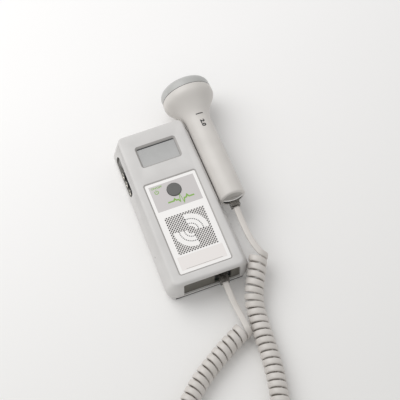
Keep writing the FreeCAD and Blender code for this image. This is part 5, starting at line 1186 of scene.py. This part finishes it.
# The end plate's grey is a painted shade.
dressed("probe_end_plate", abs_plate_painted_shade, 0.15)
tick = band("tick", TICK_SPAN, TICK_ANGLES, TICK_RADIUS, TICK_DEPTH, TICK_FACETS)
piece("probe_marks", merged("probe_marks", [frequency_mark(), tick]), "probe", dark_ink)
joint_line = band("probe_joint_line", JOINT_LINE_SPAN, (0, 360), JOINT_RADIUS + JOINT_LINE_PROUD,
                  JOINT_LINE_DEPTH, PROBE_FACETS)
piece("probe_joint_line", joint_line, "probe", pbt_black)
# The lip's white is a painted highlight.
soften(piece("probe_foot_lip", foot_lip(), "probe", abs_lip_painted_highlight))

# ---- Carried solids ----
CARRIED = (
    (sleeve, ["battery_cells"]),
    (steel, ["battery_terminals", "battery_springs", "volume_shaft"]),
    (zinc, ["speaker_frame", "wheel_screw", "case_screws", "board_screws", "holder_screws"]),
    (nickel, ["crystal_can", "charger_pin"]),
    (brass, ["handset_contacts", "probe_jack_contacts"]),
    (acrylic, ["lcd_glass"]),
    (acetal_grey, ["switch_plunger"]),
    (contact_rubber, ["lcd_strips"]),
    (foam_dark, ["speaker_gasket", "probe_seal"]),
    (cone_paper, ["speaker_cone"]),
    (ferrite, ["speaker_magnet"]),
    (ceramic, ["probe_crystals"]),
    (backing, ["probe_backing"]),
    (circuit, ["main_board", "jack_board", "probe_board"]),
    (epoxy_black, ["processor_chip", "amplifier_chip", "capacitors", "probe_chip"]),
    (pbt_black, ["lcd_frame", "switch_body", "charger_jack", "recorder_jack", "headphone_jack", "volume_pot",
                 "handset_jack", "probe_jack"]),
)
for finish, nodes in CARRIED:
    for node in nodes:
        painted(node, finish)

# ---- Floor and light ----
FLOOR_HALF = 4000.0
FLOOR_LEVEL = -0.1
FALLOFF_NEAR = -190.0                          # where the painted falloff of light leaves the paper darkest, and where it is lightest
FALLOFF_FAR = 170.0
SWEEP_PATCH = 400.0
SWEEP_UNEVEN = 0.1
FILL_STRENGTH = 0.6
LAMP_PLACE = Vector((-360.0, 480.0, 780.0)) * MM
LAMP_SIZE = 1000.0
LAMP_POWER = 5.1


def make_floor():
    """Pale paper sweep: flat and matt, so that it takes the shadows and no shine; its tone is a painted
    falloff of light, darker towards -Y nearer the camera, and uneven in broad patches.
    """
    material, tree, place = surface("matt_paper_pale")
    away = add(tree, "ShaderNodeSeparateXYZ", {0: place}).outputs[1]
    painted_falloff = add(tree, "ShaderNodeMapRange", {0: away, 1: FALLOFF_NEAR * MM, 2: FALLOFF_FAR * MM})
    patch = add(tree, "ShaderNodeTexNoise", {"Vector": place, "Scale": 1 / (SWEEP_PATCH * MM), "Detail": 1.0})
    uneven = add(tree, MATH, {0: patch, 1: SWEEP_UNEVEN}, operation="MULTIPLY")
    tone = add(tree, MATH, {0: painted_falloff, 1: uneven}, operation="ADD")
    work = bmesh.new()
    work.faces.new([work.verts.new(Vector((x * FLOOR_HALF, y * FLOOR_HALF, FLOOR_LEVEL)) * MM)
                    for x, y in ((-1, -1), (1, -1), (1, 1), (-1, 1))])
    floor = in_scene("floor", mesh_from("floor", work))
    floor.data.materials.append(finished(material, Base_Color=layered(tree, "#F1F0EE", (tone, "#FBFAF9")),
                                         Roughness=0.9))


def make_light():
    """An even fill, a pale background that only the camera and clear pieces see, and one soft lamp."""
    world = bpy.data.worlds.new("studio")
    bpy.context.scene.world = world
    world.use_nodes = True
    tree = world.node_tree
    tree.nodes.clear()
    fill = add(tree, "ShaderNodeBackground", {"Color": linear("#FFFFFF"), "Strength": FILL_STRENGTH})
    pale = add(tree, "ShaderNodeBackground", {"Color": linear("#F7F6F5"), "Strength": 1.0})
    path = add(tree, "ShaderNodeLightPath").outputs
    seen = add(tree, MATH, {0: path["Is Camera Ray"], 1: path["Is Transmission Ray"]},
               operation="MAXIMUM")
    mix = add(tree, "ShaderNodeMixShader", {0: seen, 1: fill, 2: pale})
    add(tree, "ShaderNodeOutputWorld", {"Surface": mix})
    lamp = bpy.data.lights.new("softbox", "AREA")
    lamp.shape = "DISK"
    lamp.size = LAMP_SIZE * MM
    lamp.energy = LAMP_POWER
    light = in_scene("softbox", lamp)
    light.location = LAMP_PLACE
    light.rotation_euler = (VIEW_CENTRE - LAMP_PLACE).to_track_quat("-Z", "Y").to_euler()


make_floor()
make_light()
